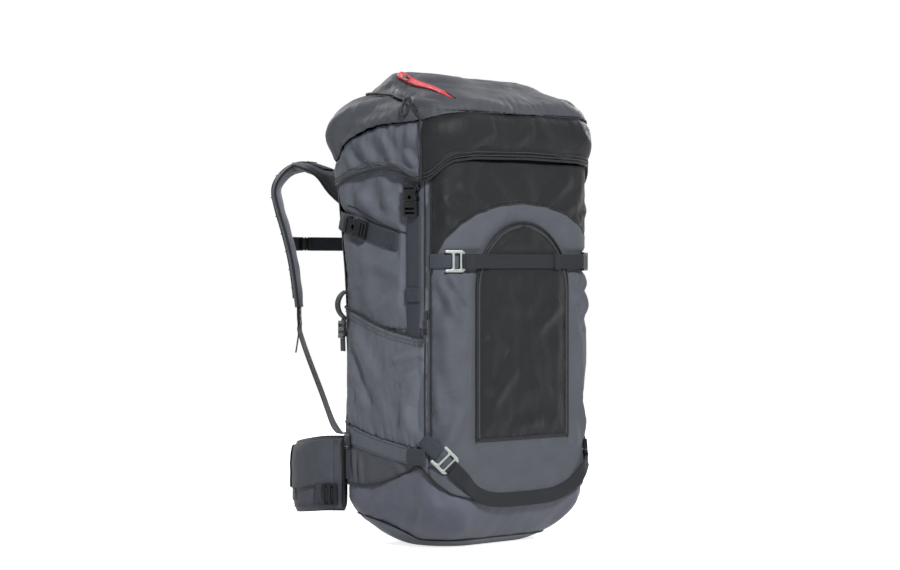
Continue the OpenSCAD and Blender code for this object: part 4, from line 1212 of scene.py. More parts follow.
def buckle_socket(name, place, w, body, node=()):
    """Female half: two waisted shells over an open throat, closed by a webbing bar."""
    e = w / 2
    waist = [
        (e - 1.5, 0), (e, 1.5), (e, 4), (e - 2.2, 6), (e - 2.2, 11.5), (e, 13.5), (e, 18.5),
        (e - 1.5, SOCKET_LEN),
    ]
    shell = rounded(waist + flipped(waist), 1.6)
    turn = np.linspace(0, math.pi, 9)
    window = [(3.6 * math.cos(a), 4.2 + 3.6 * math.sin(a)) for a in turn] + [(-3.6, 2.4), (3.6, 2.4)]
    slot = rect(3 - e, 15.6, e - 3, 17.8, 0.8)
    wall = [(e - 0.4, 13.2), (e - 0.4, SOCKET_LEN - 0.6)]
    block = rounded(wall + flipped(wall), 1.0)
    plates(name, place, [
        (shell, [window, slot], BUCKLE_T - 2.2, BUCKLE_T, 0.8),
        (shell, [slot], 0.3, 2.2, 0.5),
        (block, [slot], 1.8, BUCKLE_T - 1.8, 0.3),
    ], body, node)


def buckle_plug(name, place, w, body, node=()):
    """Male half: two springy prongs on a body with a ladder of two bars."""
    e = w / 2
    low, high = -PLUG_LEN - 0.5, -0.5
    slots = [rect(3 - e, low + k, e - 3, low + k + 3.0, 0.9) for k in (2.6, 8.4)]
    prong = [(7.2, -2), (4.2, -2), (3.6, 6), (2.6, 8.4), (4.4, 11), (6.6, 10), (6.4, 4)]
    prong = [(e - u, v) for u, v in prong]
    plates(name, place, [
        (rect(-e, low, e, high, 2.0), slots, 2.4, BUCKLE_T - 0.2, 0.9),
        (rounded(prong, 0.8), [], 3.0, 6.0, 0.5),
        (rounded(flipped(prong), 0.8), [], 3.0, 6.0, 0.5),
    ], body, node)


def ladder_lock(name, place, w, body="pack", node=(), t=4.0, length=22):
    """Ladder-lock with three bars and a lifted lip."""
    e, h = w / 2 + 3, length / 2
    slots = [rect(-w / 2, k - 2.2, w / 2, k + 2.2, 0.9) for k in (-4.4, 4.4)]
    lip = rect(1 - e, -h - 2.2, e - 1, 2 - h, 1.2)
    layers = [(rect(-e, -h, e, h, 2.4), slots, 0.0, t, 0.9), (lip, [], t * 0.35, t + 0.6, 0.7)]
    plates(name, place, layers, body, node)


def box_stitch(place, u, v_low, v_high, n):
    """Sewn box with a cross, as stitch lines."""
    a, b, c, d = (place.at(s * u, v, n) for s, v in ((-1, v_low), (1, v_low), (1, v_high), (-1, v_high)))
    return [(np.array(line), place.n) for line in ([a, b], [b, c], [c, d], [d, a], [a, c], [b, d])]


WEB_W = 25
NARROW_W = 20
WEB_OUT = 1.1
UPRIGHT = (0, 0, 1)
LID_BUCKLE_Z = 471
LID_WEB_LOW = 286
for side, place, flip in both_places(Place((-HALF_W, LID_STRAP_Y, LID_BUCKLE_Z), UPRIGHT, (-1, 0, 0))):
    node = side + "_lid_webbing"
    path = [place.at(0, v, WEB_OUT) for v in np.linspace(LID_WEB_LOW - LID_BUCKLE_Z, -0.8, 12)]
    web(node + "_run", path, place.u, WEB_W, node=node)
    keeper = [place.at(0, v, WEB_OUT + 1.7) for v in (-136, -126, -116)]
    web(side + "_lid_web_keeper", keeper, place.u, WEB_W + 2, count=8)
    rows = [([place.at(u, v, WEB_OUT + 2.6) for u in (-11, 11)], place.n) for v in (-133.5, -118.5)]
    stitches(side + "_lid_keeper_seams", rows, "webbing", step=3.2, length=2.3)
    buckle_plug(side + "_lid_plug_body", place, WEB_W, side + "_lid_plug", side + "_lid_plug")
    buckle_socket(side + "_lid_socket", place.moved(0, 0.5), WEB_W, "lid", first(side, "lid_sockets"))
    tab = place.line((15, 4.6), (20, 4.9), (26, 5.0), (40, 4.9), (66, 4.8))
    web(side + "_lid_tab", tab, place.u, WEB_W, "lid", node=first(side, "lid_tabs"))

# The compression strap's root turns round the back corner to its seam: angle, height, distance out
ROOT_LINE = [(8, 443, 5.0), (15, 444.5, 4.2), (22, 446, 3.8), (28, 447.5, 3.2)]
comp_place = Place((-HALF_W, COMP_Y, COMP_Z), (0, math.cos(COMP_TILT), math.sin(COMP_TILT)), (-1, 0, 0))
for side, place, flip in both_places(comp_place):
    node = side + "_compression_webbing"
    path = place.line((-0.8, WEB_OUT), (-30, WEB_OUT), (-60, WEB_OUT), (-76, 0.9), (-80, -0.6))
    web(node + "_run", path, place.u, WEB_W, node=node)
    box = box_stitch(place, 9.5, -72, -58, WEB_OUT + 0.9)
    stitches(node + "_box", box, "webbing", step=3.2, length=2.3)
    root = place.line((14, 4.6), (18, 3.8)) + [body(q_back(a), z, n)[0] * flip for a, z, n in ROOT_LINE]
    web(side + "_compression_root", root, place.u, WEB_W)
    plug = side + "_compression_plug"
    buckle_plug(plug + "_body", place, WEB_W, plug, plug)
    buckle_socket(side + "_compression_socket", place, WEB_W, "pack", first(side, "compression_sockets"))

# Ski loops at the back edges, each a bulging loop over a ladder-lock with a loose tail


def corner_place(angle, z, front=False, tilt=0.0):
    """Place on a left corner by degrees from the side, with its v tilted from upright towards the front."""
    a, k = math.radians(angle), math.radians(tilt)
    depth = CORNER_R - FRONT_D if front else float(back_d(z)) - CORNER_R
    n = vec(-math.cos(a), -math.sin(a) if front else math.sin(a), 0)
    along = vec(math.sin(a), -math.cos(a), 0)
    v = math.sin(k) * along + math.cos(k) * vec(0, 0, 1)
    return Place(vec(CORNER_R - HALF_W, depth, z) + n * CORNER_R, v, n)


SKI_LOOP_R = 21.2
for side, place, flip in both_places(corner_place(24, 330)):
    turn = np.radians(np.linspace(-62, 62, 9))
    path = place.line(*((SKI_LOOP_R * math.sin(a), SKI_LOOP_R * math.cos(a) - 10) for a in turn))
    node = first(side, "ski_loops")
    web(side + "_ski_loop", path, place.u, NARROW_W, slot="black_webbing", t=2.8, node=node)
    ladder_lock(side + "_ski_loop_lock", place.moved(-33, 2.6), NARROW_W)
    tail = place.line((-16, 1.0), (-24, 3.2), (-34, 5.6), (-42, 4.2), (-56, 3.6), (-64, 3.4))
    web(side + "_ski_loop_tail", tail, place.u, NARROW_W - 1, slot="black_webbing")

# Small ladder-locks where the hip belt's stabilisers meet the band
for side, place, flip in both_places(corner_place(20, 142)):
    ladder_lock(side + "_stabiliser_lock", place.moved(0, 1.6), 14, t=3.2, length=18)
    lead = place.line((30, 0.9), (16, 1.8), (4, 4.6), (-6, 3.2), (-20, 2.6), (-52, 2.4))
    web(side + "_stabiliser_web", lead, place.u, 13.5, t=1.5)

# Board straps, their hooks and ladder-locks

HOOK_OUT = 2.5
HOOK_T = 2.6
HOOK_BAR = 12.2
LOOP_R = 2.3
WEB_T = 1.6
UPPER_A = 62
LOWER_A, LOWER_Z = 46, 124
HOOK_LINE = [
    (-13, 15), (10, 15), (14, 12), (14, -12), (10, -15), (-13, -15), (-14.5, -13), (-13, -10.8),
    (-5.5, -10.6), (-4.2, -9), (-4.2, 9), (-5.5, 10.6), (-13, 10.8), (-14.5, 13),
]
HOOK_WINDOW = rect(-0.4, -10.6, 6.4, 10.6, 1.2)
hooks = {"upper": corner_place(UPPER_A, UPPER_Z, True), "lower": corner_place(LOWER_A, LOWER_Z, True, 45)}


def strap_sign(place):
    """1 where the place's u points along the strap, else -1."""
    return 1 if np.dot(place.u, vec(1, -1, 0)) > 0 else -1


for label, place in hooks.items():
    sign = strap_sign(place)
    outline = rounded([(sign * u, v) for u, v in HOOK_LINE], 1.6)
    window = [(sign * u, v) for u, v in HOOK_WINDOW]
    layer = (outline, [window], HOOK_OUT, HOOK_OUT + HOOK_T, 1.0)
    plates(label + "_hook_body", place, [layer], label + "_hook", label + "_board_hook", "hook_metal")
    turn = np.radians(np.linspace(-100, 100, 11))
    out = stacked(HOOK_BAR + 0.6 - (LOOP_R + 0.8) * np.cos(turn), (LOOP_R + 0.8) * np.sin(turn))
    loop = [place.at(sign * u, 0, HOOK_OUT + HOOK_T / 2 + n) for u, n in out]
    node = first(label, "board_strap_loops")
    web(label + "_strap_loop", loop, place.v, NARROW_W, slot="black_webbing", node=node)


def strap_point(place, x):
    return place.at(strap_sign(place) * x, 0, HOOK_OUT + HOOK_T / 2 + LOOP_R + WEB_T / 2)


# Each strap's height and its way across the front: place across, distance out, drop
STRAP_ROUTES = (
    ("upper", UPPER_Z, 120, ((-102, 7.6, 0), (-88, 7.1, 0), (-40, 7.1, 0))),
    ("lower", LOWER_Z, 140, ((-116, 6.2, 28), (-92, 4.6, 46), (-50, 3.6, 57))),
)
for label, strap_z, count, route in STRAP_ROUTES:
    place = hooks[label]
    left = [strap_point(place, HOOK_BAR + 0.9), strap_point(place, HOOK_BAR + 7)]
    left += [vec(x, -FRONT_D - out, strap_z - drop) for x, out, drop in route]
    path = left + [p * MIRROR for p in reversed(left)] + [strap_point(place, -6) * MIRROR]
    node = label + "_board_webbing"
    web(label + "_strap_run", path, UPRIGHT, NARROW_W, slot="black_webbing", node=node, count=count)
keeper = [(x, -FRONT_D - 8.6, UPPER_Z) for x in (56, 61, 66)]
web("upper_strap_keeper", keeper, UPRIGHT, NARROW_W + 2.5, slot="black_webbing", t=2.6, count=8)
for label, place in hooks.items():
    twin = place.on("right")
    along = Place(twin.at(0, 0, 1.7), twin.u, twin.n)
    ladder_lock(label + "_strap_lock", along, NARROW_W, node=first(label, "board_strap_locks"), t=5.6)


def on_corner(angle, z, out):
    return body(q_corner(angle), z, out)[0]


for side, flip, seed in SIDES:
    path = on_corner(np.linspace(20, 58, 12), UPPER_Z, WEB_OUT + 0.2) * flip
    web(side + "_upper_tab", path, UPRIGHT, NARROW_W, node=first(side, "board_tabs"))
    low = on_corner(np.linspace(8, 37, 10), np.linspace(153, 132, 10), np.linspace(3.4, 3.6, 10)) * flip
    across = np.cross(unit(low[-1] - low[0]), (on_corner(26, 136, 1) - on_corner(26, 136, 0)) * flip)
    web(side + "_lower_tab", low, across, NARROW_W)
    ribs = body(np.linspace(q_side(-46), q_corner(13), 16), 128, 5.0)[0] * flip
    web(side + "_band_webbing", ribs, UPRIGHT, 22, t=1.5)

# Shoulder straps: padded bands with bound edges and a webbing ladder on the outer face

STRAP_X = 75
STRAP_Z = 468
STRAP_REACH = 161
STRAP_W = 62
STRAP_T = 13
STRAP_STEPS = 170
SEWN = slice(12, -8)
LADDER = slice(44, -6)
STRAP_ROUTE = [
    (0, 0.271, 19), (0, 0.452, 43), (-1, 0.658, 55), (-3, 0.813, 59), (-14, 0.923, 52), (-24, 0.981, 38),
    (-27, 1, 22), (-24, 0.974, -3), (-17, 0.929, -38), (-11, 0.89, -75), (-7, 0.865, -113), (-5, 0.852, -144),
]
STRAP_TURN = [0, 0, 0, 5, 15, 25, 40, 45, 45, 45, 45, 45, 45, 45]
strap_back = float(back_d(STRAP_Z)) + 0.4
strap_pts = [vec(-STRAP_X, strap_back, STRAP_Z), vec(-STRAP_X, strap_back + 14, STRAP_Z)]
strap_pts += [vec(x - STRAP_X, BACK_HIGH + STRAP_REACH * y, STRAP_Z + z) for x, y, z in STRAP_ROUTE]
strap_end = strap_pts[-1]
turns = np.radians(STRAP_TURN)
strap_line = np.hstack([strap_pts, stacked(np.cos(turns), np.sin(turns), 0 * turns)])
strap_line = spline(strap_line, STRAP_STEPS)
strap_path, strap_side = strap_line[:, :3], unit(strap_line[:, 3:])
place_along = np.linspace(0, 1, STRAP_STEPS)
strap_wide = 1 - 0.5 * smooth(place_along, 0.9, 1.0)
PAD_HALF = [(1.0, 0.12), (0.985, 0.26), (0.93, 0.42), (0.84, 0.66), (0.66, 0.9), (0.4, 1.0), (0.0, 0.97)]


def pad_section(w, t):
    quarter = [(u * w / 2, v * t / 2) for u, v in PAD_HALF]
    top = quarter + flipped(quarter[:-1])
    return top + [(u, -v) for u, v in reversed(top)]


strap_dir = unit(np.gradient(strap_path, axis=0))
strap_across = unit(strap_side - strap_dir * np.sum(strap_dir * strap_side, axis=1, keepdims=True))
strap_out = np.cross(strap_dir, strap_across)
if strap_out[STRAP_STEPS * 3 // 4][1] < 0:
    strap_out = -strap_out
quilt = np.cos(place_along * run_along(strap_path)[-1] / 34 * 2 * math.pi)
strap_plump = 1 - 0.06 * (1 + quilt) * smooth(place_along, 0.1, 0.2)
DIAGONAL = math.sqrt(0.5)
WEB_END_A = math.radians(58)
WEB_END_Z = 152
end_n = vec(-math.cos(WEB_END_A), math.sin(WEB_END_A), 0)
end_mid = vec(CORNER_R - HALF_W, float(back_d(WEB_END_Z)) - CORNER_R, WEB_END_Z)
end_far, end_near = (end_mid + end_n * (CORNER_R + out) for out in (12, 0.6))
WEB_ROUTE = [(0.4, 0.007, -24), (0, 0.014, -36), (-8, 0.183, -68), (-24, 0.507, -119), (-40, 0.774, -156)]
web_path = [strap_end + vec(*p) for p in ((0, 0, 8), (0, 0, -8), (0.2, 0, -16))]
web_path += [
    vec(strap_end[0] + x, lerp(strap_end[1], end_far[1], y), strap_end[2] + z) for x, y, z in WEB_ROUTE
]
web_path = np.array(web_path + [end_far, end_near])
web_tail = strap_end + np.array([(1.5, 1.5, -9), (2.4, 2.4, -20), (2.0, 3.6, -40), (-1, 6, -66)])


# On the right a pad's path is run backwards, which mirrors its section
ORDER = {"left": slice(None), "right": slice(None, None, -1)}


def half_strap(sign, inset):
    """A line along the strap, inset from one edge."""
    return strap_path + strap_across * (sign * (STRAP_W / 2 - inset) * strap_wide)[:, None]


for side, flip, seed in SIDES:
    order = ORDER[side]
    pad = sweep(
        side + "_shoulder_pad", (strap_path * flip)[order], (strap_side * flip)[order],
        pad_section(STRAP_W, STRAP_T), "pack", "main_fabric", node=side + "_shoulder_strap",
        scale=stacked(strap_wide, strap_plump)[order],
    )
    outs = strap_out * flip
    for label, sign in (("inner", 1), ("outer", -1)):
        piping(f"{side}_shoulder_binding_{label}", half_strap(sign, 0.6) * flip, outs, 2.1, "main_fabric")
        row = (half_strap(sign, 6) + strap_out * 4.6) * flip
        stitches(f"{side}_shoulder_stitching_{label}", [(row[SEWN], outs[SEWN])], "main_fabric", step=5)
    face = (strap_path + strap_out * 6.9)[LADDER] * flip
    across = (strap_across * flip)[LADDER]
    sweep(side + "_shoulder_ladder", face, across, web_section(NARROW_W, 1.8), "pack", "webbing")
    bars = []
    for k in range(60, STRAP_STEPS - 10, 12):
        c = strap_path[k] + strap_out[k] * 7.9
        bars.append(([(c + strap_across[k] * reach) * flip for reach in (-9, 9)], outs[k]))
    stitches(side + "_shoulder_bartacks", bars, "webbing", step=2.2, length=2.0, r=0.5)

    # Ladder-lock and lower webbing down to the pack
    across = vec(math.sin(WEB_END_A), math.cos(WEB_END_A), 0) * flip
    node = side + "_shoulder_webbing"
    web(side + "_shoulder_web_run", web_path * flip, across, NARROW_W, node=node, count=80)
    web(side + "_shoulder_web_tail", web_tail * flip, vec(DIAGONAL, DIAGONAL, 0) * flip, NARROW_W - 1, t=1.5)
    lock = Place(strap_end - vec(0, 0, 12), UPRIGHT, (DIAGONAL, -DIAGONAL, 0)).on(side).moved(0, -2)
    ladder_lock(side + "_shoulder_lock", lock, NARROW_W, node=first(side, "shoulder_locks"))

# Sternum strap

fall = np.array(sorted((p[2], p[0], p[1]) for p in strap_pts[-6:]))
STERNUM_Z = 416
edge_mm = STRAP_W / 2 * math.sin(math.radians(45))
sternum_x = -np.interp(STERNUM_Z, fall[:, 0], fall[:, 1]) - edge_mm
sternum_y = np.interp(STERNUM_Z, fall[:, 0], fall[:, 2]) + edge_mm - 0.8
chest = Place((-30, sternum_y, STERNUM_Z), (-1, 0, 0), (0, 1, 0))
buckle_socket("sternum_socket_body", chest, NARROW_W, "pack", "sternum_socket")
buckle_plug("sternum_plug_body", chest, NARROW_W, "sternum_plug", "sternum_plug")
STERNUM_WEBS = (
    ("stub", (), ((-sternum_x - 1, 0.6), (-58, 1.0), (-52, 2.4), (-46.5, 4.4))),
    ("run", "sternum_webbing", ((-29, WEB_OUT), (0, WEB_OUT), (40, WEB_OUT), (sternum_x + 1, 0.6))),
)
for label, node, row in STERNUM_WEBS:
    web("sternum_" + label, [(x, sternum_y + out, STERNUM_Z) for x, out in row], UPRIGHT, NARROW_W, node=node)

# Haul loop

turn = np.radians(np.linspace(-8, 188, 40))
haul_z = STRAP_Z + 14
path = stacked(27 * np.cos(turn), float(back_d(haul_z)) + 26.2 * np.sin(turn), haul_z)
web("haul_loop_run", path, UPRIGHT, NARROW_W, node="haul_loop", t=2.6)

# Hip belt: padded wings that turn with the belt

FIN_AXIS = (-138.456, 97.046, 96)
FIN_ROUTE = [FIN_AXIS, (-148, 124, 95), (-152, 150, 92), (-146, 180, 88), (-130, 203, 85), (-108, 216, 83)]
FIN_HEIGHT = [102, 102, 101, 99, 97, 90]
FIN_STEPS = 90
BELT_Z = 83
BELT_Y = 233
LAYER_COLS, LAYER_ROWS = 70, 40
BAND_COLS = 13
PATCH = slice(54, 69)
PATCH_ROWS = 12
PATCH_LOW, PATCH_HIGH = -34, -15
ROOT_STEPS, ROOT_HALF = 30, 50
ADJUSTER_AT = 11
fin_line = spline([p + (tall,) for p, tall in zip(FIN_ROUTE, FIN_HEIGHT)], FIN_STEPS)
fin_path, fin_tall = fin_line[:, :3], fin_line[:, 3]
fin_t = np.linspace(0, 1, FIN_STEPS)
fin_thick = 8.5 + 5.5 * smooth(fin_t, 0.02, 0.25) * smooth(fin_t, 1.02, 0.86)
tip_round = 1 - 0.18 * smooth(fin_t, 0.88, 1.0) ** 2
fin_dir = unit(np.gradient(fin_path, axis=0))
fin_out = unit(np.cross(fin_dir, vec(0, 0, 1)))
if fin_out[40][0] > 0:
    fin_out = -fin_out


def raised(z):
    """Offsets straight up."""
    return stacked(0.0, 0.0, z)


def fin_at(values, span):
    return stacked(*(np.interp(span, fin_t, row) for row in values.T))


root = np.linspace(vec(*FIN_AXIS) - raised(ROOT_HALF), vec(*FIN_AXIS) + raised(ROOT_HALF), ROOT_STEPS)
root_round = np.sqrt(np.clip(1 - np.linspace(-1, 1, ROOT_STEPS) ** 8, 0.05, 1))
pad_curve = np.array(PAD_HALF[::-1])
hip_web = np.array([(-106, 216.5), (-80, 226), (-52, 232), (-34.8, BELT_Y), (-29, BELT_Y)])
hip_web = np.hstack([hip_web, np.full((5, 1), BELT_Z)])
for side, flip, seed in SIDES:
    hip = side + "_hip"
    order = ORDER[side]
    fin = sweep(
        hip + "_pad", (fin_path * flip)[order], UPRIGHT, pad_section(2, 2), hip, "dark_fabric", UNDER,
        node=hip + "_fin", scale=stacked(fin_tall / 2 * tip_round, fin_thick / 2)[order],
    )
    swell = stacked(root_round, root_round)
    sweep(hip + "_root", root * flip, (1, 0, 0), round_section(4.7, 16), hip, "dark_fabric", scale=swell)
    for label, sign in (("upper", 1), ("lower", -1)):
        edge = fin_path + raised(sign * (fin_tall / 2 - 0.6) * tip_round)
        piping(f"{hip}_binding_{label}", edge * flip, fin_out * flip, 1.9, body=hip)
        for row, inset in enumerate((6, 9.5)):
            line = fin_path + fin_out * (fin_thick * 0.33 + 0.2)[:, None]
            line = (line + raised(sign * (fin_tall / 2 * tip_round - inset))) * flip
            seam = [(line[6:-4], fin_out[6:-4] * flip)]
            stitches(f"{hip}_hem_{label}_{row}", seam, "dark_fabric", hip, step=4.4)

    # Outer face: a second layer with a folded end band, a webbing run and a patch
    span = np.linspace(0.10, 0.90, LAYER_COLS)
    v = np.linspace(-0.16, 0.47, LAYER_ROWS)
    z_off = np.interp(span, fin_t, fin_tall)[:, None] * v * np.linspace(1, 0.97, LAYER_COLS)[:, None]
    crown = np.interp(np.abs(v) * 2, pad_curve[:, 0], pad_curve[:, 1])
    bulge = crown * np.interp(span, fin_t, fin_thick)[:, None] / 2 + 2.0
    bulge = bulge + 0.7 * noise(span[:, None] * 9, v * 5, seed + 101)
    outs = unit(fin_at(fin_out, span))[:, None] + np.zeros((1, LAYER_ROWS, 1))
    pts = (fin_at(fin_path, span)[:, None] + outs * bulge[..., None] + raised(z_off)) * flip
    outs = outs * flip
    flat = stacked(span[:, None] * 150, z_off)
    cloth(hip + "_layer", pts, outs, flat, hip, "main_fabric", thick=1.4, mat=UNDER)
    piping(hip + "_layer_cord", pts[:, 0], outs[:, 0], 1.3, body=hip)
    piping(hip + "_layer_end", pts[-1], outs[-1], 1.8, body=hip)
    outs = outs[-BAND_COLS:]
    lift = 1.4 + 1.6 * np.sin(np.linspace(0, math.pi, BAND_COLS))
    band = pts[-BAND_COLS:] + outs * lift[:, None, None]
    cloth(hip + "_end_band", band, outs, flat[-BAND_COLS:], hip, "main_fabric", mat=UNDER)
    for k in (0, BAND_COLS - 1):
        piping(f"{hip}_band_edge_{k}", band[k] + outs[k] * 0.2, outs[k], 1.0, body=hip)
    patch = fin_path[PATCH, None] + fin_out[PATCH, None] * (fin_thick[PATCH, None, None] / 2 + 0.8)
    patch = patch + raised(np.linspace(PATCH_LOW, PATCH_HIGH, PATCH_ROWS))
    patch_out = fin_out[PATCH, None] + np.zeros_like(patch)
    rise = np.linspace(0, PATCH_HIGH - PATCH_LOW, PATCH_ROWS)
    flat = stacked(np.arange(len(patch))[:, None] * 2.0, rise)
    cloth(hip + "_patch", patch * flip, patch_out * flip, flat, hip, "dark_fabric", mat=UNDER)
    web(hip + "_web_run", hip_web * flip, UPRIGHT, WEB_W, hip, node=hip + "_webbing")
    face = fin_path + fin_out * (fin_thick / 2 + 2.6)[:, None]
    face[:, 2] = np.linspace(64, BELT_Z, FIN_STEPS)
    sweep(hip + "_web_face", face[4:26] * flip, UPRIGHT, web_section(WEB_W, 1.8), hip, "webbing")
    out = fin_out[ADJUSTER_AT]
    lock = Place(face[ADJUSTER_AT] + out * 0.6, fin_dir[ADJUSTER_AT], out).on(side)
    ladder_lock(hip + "_adjuster", lock, WEB_W, hip, t=4)
for label, half, x, hip in (
    ("socket", buckle_socket, -14, "left_hip"), ("plug", buckle_plug, 14, "right_hip"),
):
    place = Place((x, BELT_Y - BUCKLE_T / 2, BELT_Z), (-1, 0, 0), (0, 1, 0))
    half(f"hip_{label}_body", place, WEB_W, hip, "hip_" + label)

# Padded mesh on the back: swollen by a short cloth simulation, then sewn down along its channels

PUFF_FRAMES = 20
VOXEL = 5.0
PUFF_SETTINGS = {
    "quality": 6, "mass": 0.25, "tension_stiffness": 12, "compression_stiffness": 12,
    "bending_stiffness": 0.4, "use_pressure": True, "uniform_pressure_force": 4, "vertex_group_mass": "seat",
}


def read_points(mesh):
    flat = np.empty(len(mesh.vertices) * 3, np.float32)
    mesh.vertices.foreach_get("co", flat)
    return flat.reshape(-1, 3).astype(float) / MM


def write_points(mesh, pts):
    mesh.vertices.foreach_set("co", (pts * MM).astype(np.float32).ravel())
    mesh.update()


def apply_modifiers(obj):
    made = evaluated_mesh(obj)
    obj.modifiers.clear()
    old = obj.data
    obj.data = made
    bpy.data.meshes.remove(old)


def puff(obj, seated, cap):
    """Swell a closed mesh by pressure; seated points stay and no point moves further than cap."""
    rest = read_points(obj.data)
    group = obj.vertex_groups.new(name="seat")
    group.add([int(k) for k in np.flatnonzero(seated(rest))], 1.0, "REPLACE")
    sim = obj.modifiers.new("puff", "CLOTH")
    for key, value in PUFF_SETTINGS.items():
        setattr(sim.settings, key, value)
    sim.settings.effector_weights.gravity = 0
    sim.collision_settings.use_collision = False
    sim.point_cache.frame_start = 1
    sim.point_cache.frame_end = PUFF_FRAMES
    for f in range(1, PUFF_FRAMES + 1):
        bpy.context.scene.frame_set(f)
    view = bpy.context.evaluated_depsgraph_get()
    swollen = read_points(obj.evaluated_get(view).data)
    obj.modifiers.remove(sim)
    obj.vertex_groups.clear()
    bpy.context.scene.frame_set(1)
    step = swollen - rest
    size = np.linalg.norm(step, axis=1, keepdims=True)
    write_points(obj.data, rest + step * np.minimum(1, cap / np.maximum(size, 1e-6)))


def mesh_pad(name, node, cap, sew):
    """A CAD pad as a swollen cushion; sew gives how far each point of its face is drawn in."""
    obj = bpy.data.objects.new(name, nodes[node].data.copy())
    bpy.context.scene.collection.objects.link(obj)
    voxels = obj.modifiers.new("voxels", "REMESH")
    voxels.mode = "VOXEL"
    voxels.voxel_size = VOXEL * MM
    apply_modifiers(obj)
    puff(obj, lambda p: p[:, 1] - back_d(p[:, 2]) < 2.5, cap)
    finer = obj.modifiers.new("finer", "SUBSURF")
    finer.levels = 1
    apply_modifiers(obj)
    pts = read_points(obj.data)
    stand = pts[:, 1] - back_d(pts[:, 2])
    pts[:, 1] -= sew(pts[:, 0], pts[:, 2]) * smooth(stand, 2, 9)
    write_points(obj.data, pts)
    obj.data.polygons.foreach_set("use_smooth", [True] * len(obj.data.polygons))
    obj.data.materials.clear()
    obj.data.materials.append(LOOKS["pad_mesh"])
    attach(obj, "pack")
    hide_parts(node)


PAD_X = 56
PAD_W = 84
PAD_Z = (158, 448)
CHANNEL = 48


def back_sew(x, z):
    u = np.abs(x) - PAD_X
    chevron = z - 0.45 * np.abs(u)
    d = np.abs((chevron - PAD_Z[0] + 10) % CHANNEL - CHANNEL / 2)
    return 4.2 * np.exp(-((d / 3.4) ** 2)) * smooth(np.abs(u), PAD_W / 2 - 2, PAD_W / 2 - 12)


def lumbar_sew(x, z):
    d = np.abs(np.abs(x) - 44)
    return 5.0 * np.exp(-((d / 3.6) ** 2)) * smooth(np.abs(z - 119), 32, 24)


mesh_pad("back_pad_cushions", "back_pads", 6, back_sew)
mesh_pad("lumbar_cushion", "lumbar_pad", 7, lumbar_sew)

# Piping round the foot of each pad: middle, width, low and high
PAD_FEET = (
    ("left_back_pad", -PAD_X, PAD_W + 2.5, PAD_Z[0] - 1.2, PAD_Z[1] + 1.2),
    ("right_back_pad", PAD_X, PAD_W + 2.5, PAD_Z[0] - 1.2, PAD_Z[1] + 1.2),
    ("lumbar", 0, 198.5, 84.8, 153.2),
)
for label, x, w, z_low, z_high in PAD_FEET:
    outline = rect(x - w / 2, z_low, x + w / 2, z_high, 10, 8)
    line = even(np.array(outline + [outline[0]]), 160)
    path = stacked(line[:, 0], back_d(line[:, 1]) + 1.4, line[:, 1])
    piping(label + "_piping", path, (0, 1, 0), 2.0)

# Anchor patch over the roots of the shoulder straps and the haul loop

PATCH_HW = 108
x, v = grid(np.linspace(-PATCH_HW, PATCH_HW, 60), np.linspace(0, 1, 20))
z = lerp(456 + 0 * x, 500 - 8 * (x / PATCH_HW) ** 2, v)
pts = stacked(x, back_d(z) + 0.9 + 0.4 * noise(x / 24, z / 18, 111), z)
cloth("harness_patch", pts, np.zeros_like(pts) + (0, 1.0, 0), stacked(x, z), "pack", "main_fabric")
rows = [(pts[2:-2, k] + (0, 0.1, 0), (0, 1.0, 0)) for k in (1, 18)]
stitches("harness_patch_stitching", rows, "main_fabric")

# Collar under the lid: a gathered sleeve with a hem round its mouth

COLLAR_LOW = 511
COLLAR_HIGH = 574
q, v = grid(np.linspace(0, 10, 300, endpoint=False), np.linspace(0, 1, 34))
z = lerp(COLLAR_LOW, COLLAR_HIGH, v)
inset = lerp(3.6, 12.6, v)
x, y, nx, ny = ring(q, *(size - inset for size in (HALF_W, FRONT_D, BACK_HIGH, CORNER_R)))
run = run_round(q, np.full_like(q, 500.0))
gather = (1.6 * noise(run / 11, v * 1.2, 121) + 0.8 * noise(run / 24, v, 122)) * (0.25 + 0.75 * v)
hem = 1.6 * np.exp(-(((v - 0.93) / 0.05) ** 2)) + pinch((v - 0.84) * (COLLAR_HIGH - COLLAR_LOW), 2, 1.2)
off = gather + hem - 0.6
pts = stacked(x + nx * off, y + ny * off, z + 1.2 * noise(run / 20, v, 123) * v)
outs = stacked(nx, ny, 0.0)
cloth("collar_cloth", pts, outs, stacked(run, z), "pack", "dark_fabric", closed=True, node="collar")

# Floor of the lid pocket, slack between the lid's sides

LINING_Z = 590.5
LINING_IN = 3.2
q, k = grid(np.linspace(0, 10, 200, endpoint=False), np.linspace(1, 0, 30))
x, y, nx, ny = ring(q, *(size - LINING_IN for size in (LID_HW, LID_F, LID_B, LID_R)))
x, y = x * k, y * k
sag = (1.6 * noise(x / 46, y / 40, 131) - 1.0) * (1 - k**2)
pts = stacked(x, y, LINING_Z + sag)
outs = np.zeros_like(pts) + (0, 0, -1.0)
cloth("lid_floor_cloth", pts, outs, stacked(x, y), "lid", "dark_fabric", closed=True, node="lid_lining")

# Zip sliders with cord pulls


def zip_slider(name, place, body, node):
    """A slider with a bridge and a pull tab."""
    flank = [(2.4, -5), (3.4, -2.5), (4.2, 3), (3.2, 5.5)]
    wedge = rounded(flank + flipped(flank), 1.4)
    tab = rounded([(-1.7, -11), (1.7, -11), (2.3, -1), (-2.3, -1)], 1.2)
    eye = rect(-0.8, -9.6, 0.8, -7.4, 0.5)
    bridge = rect(-1.1, -4, 1.1, 4, 0.6)
    layers = [(wedge, [], 0.3, 2.6, 0.5), (bridge, [], 2.4, 4.6, 0.5), (tab, [eye], 4.2, 5.6, 0.4)]
    plates(name + "_body", place, layers, body, node, "zip_coil")


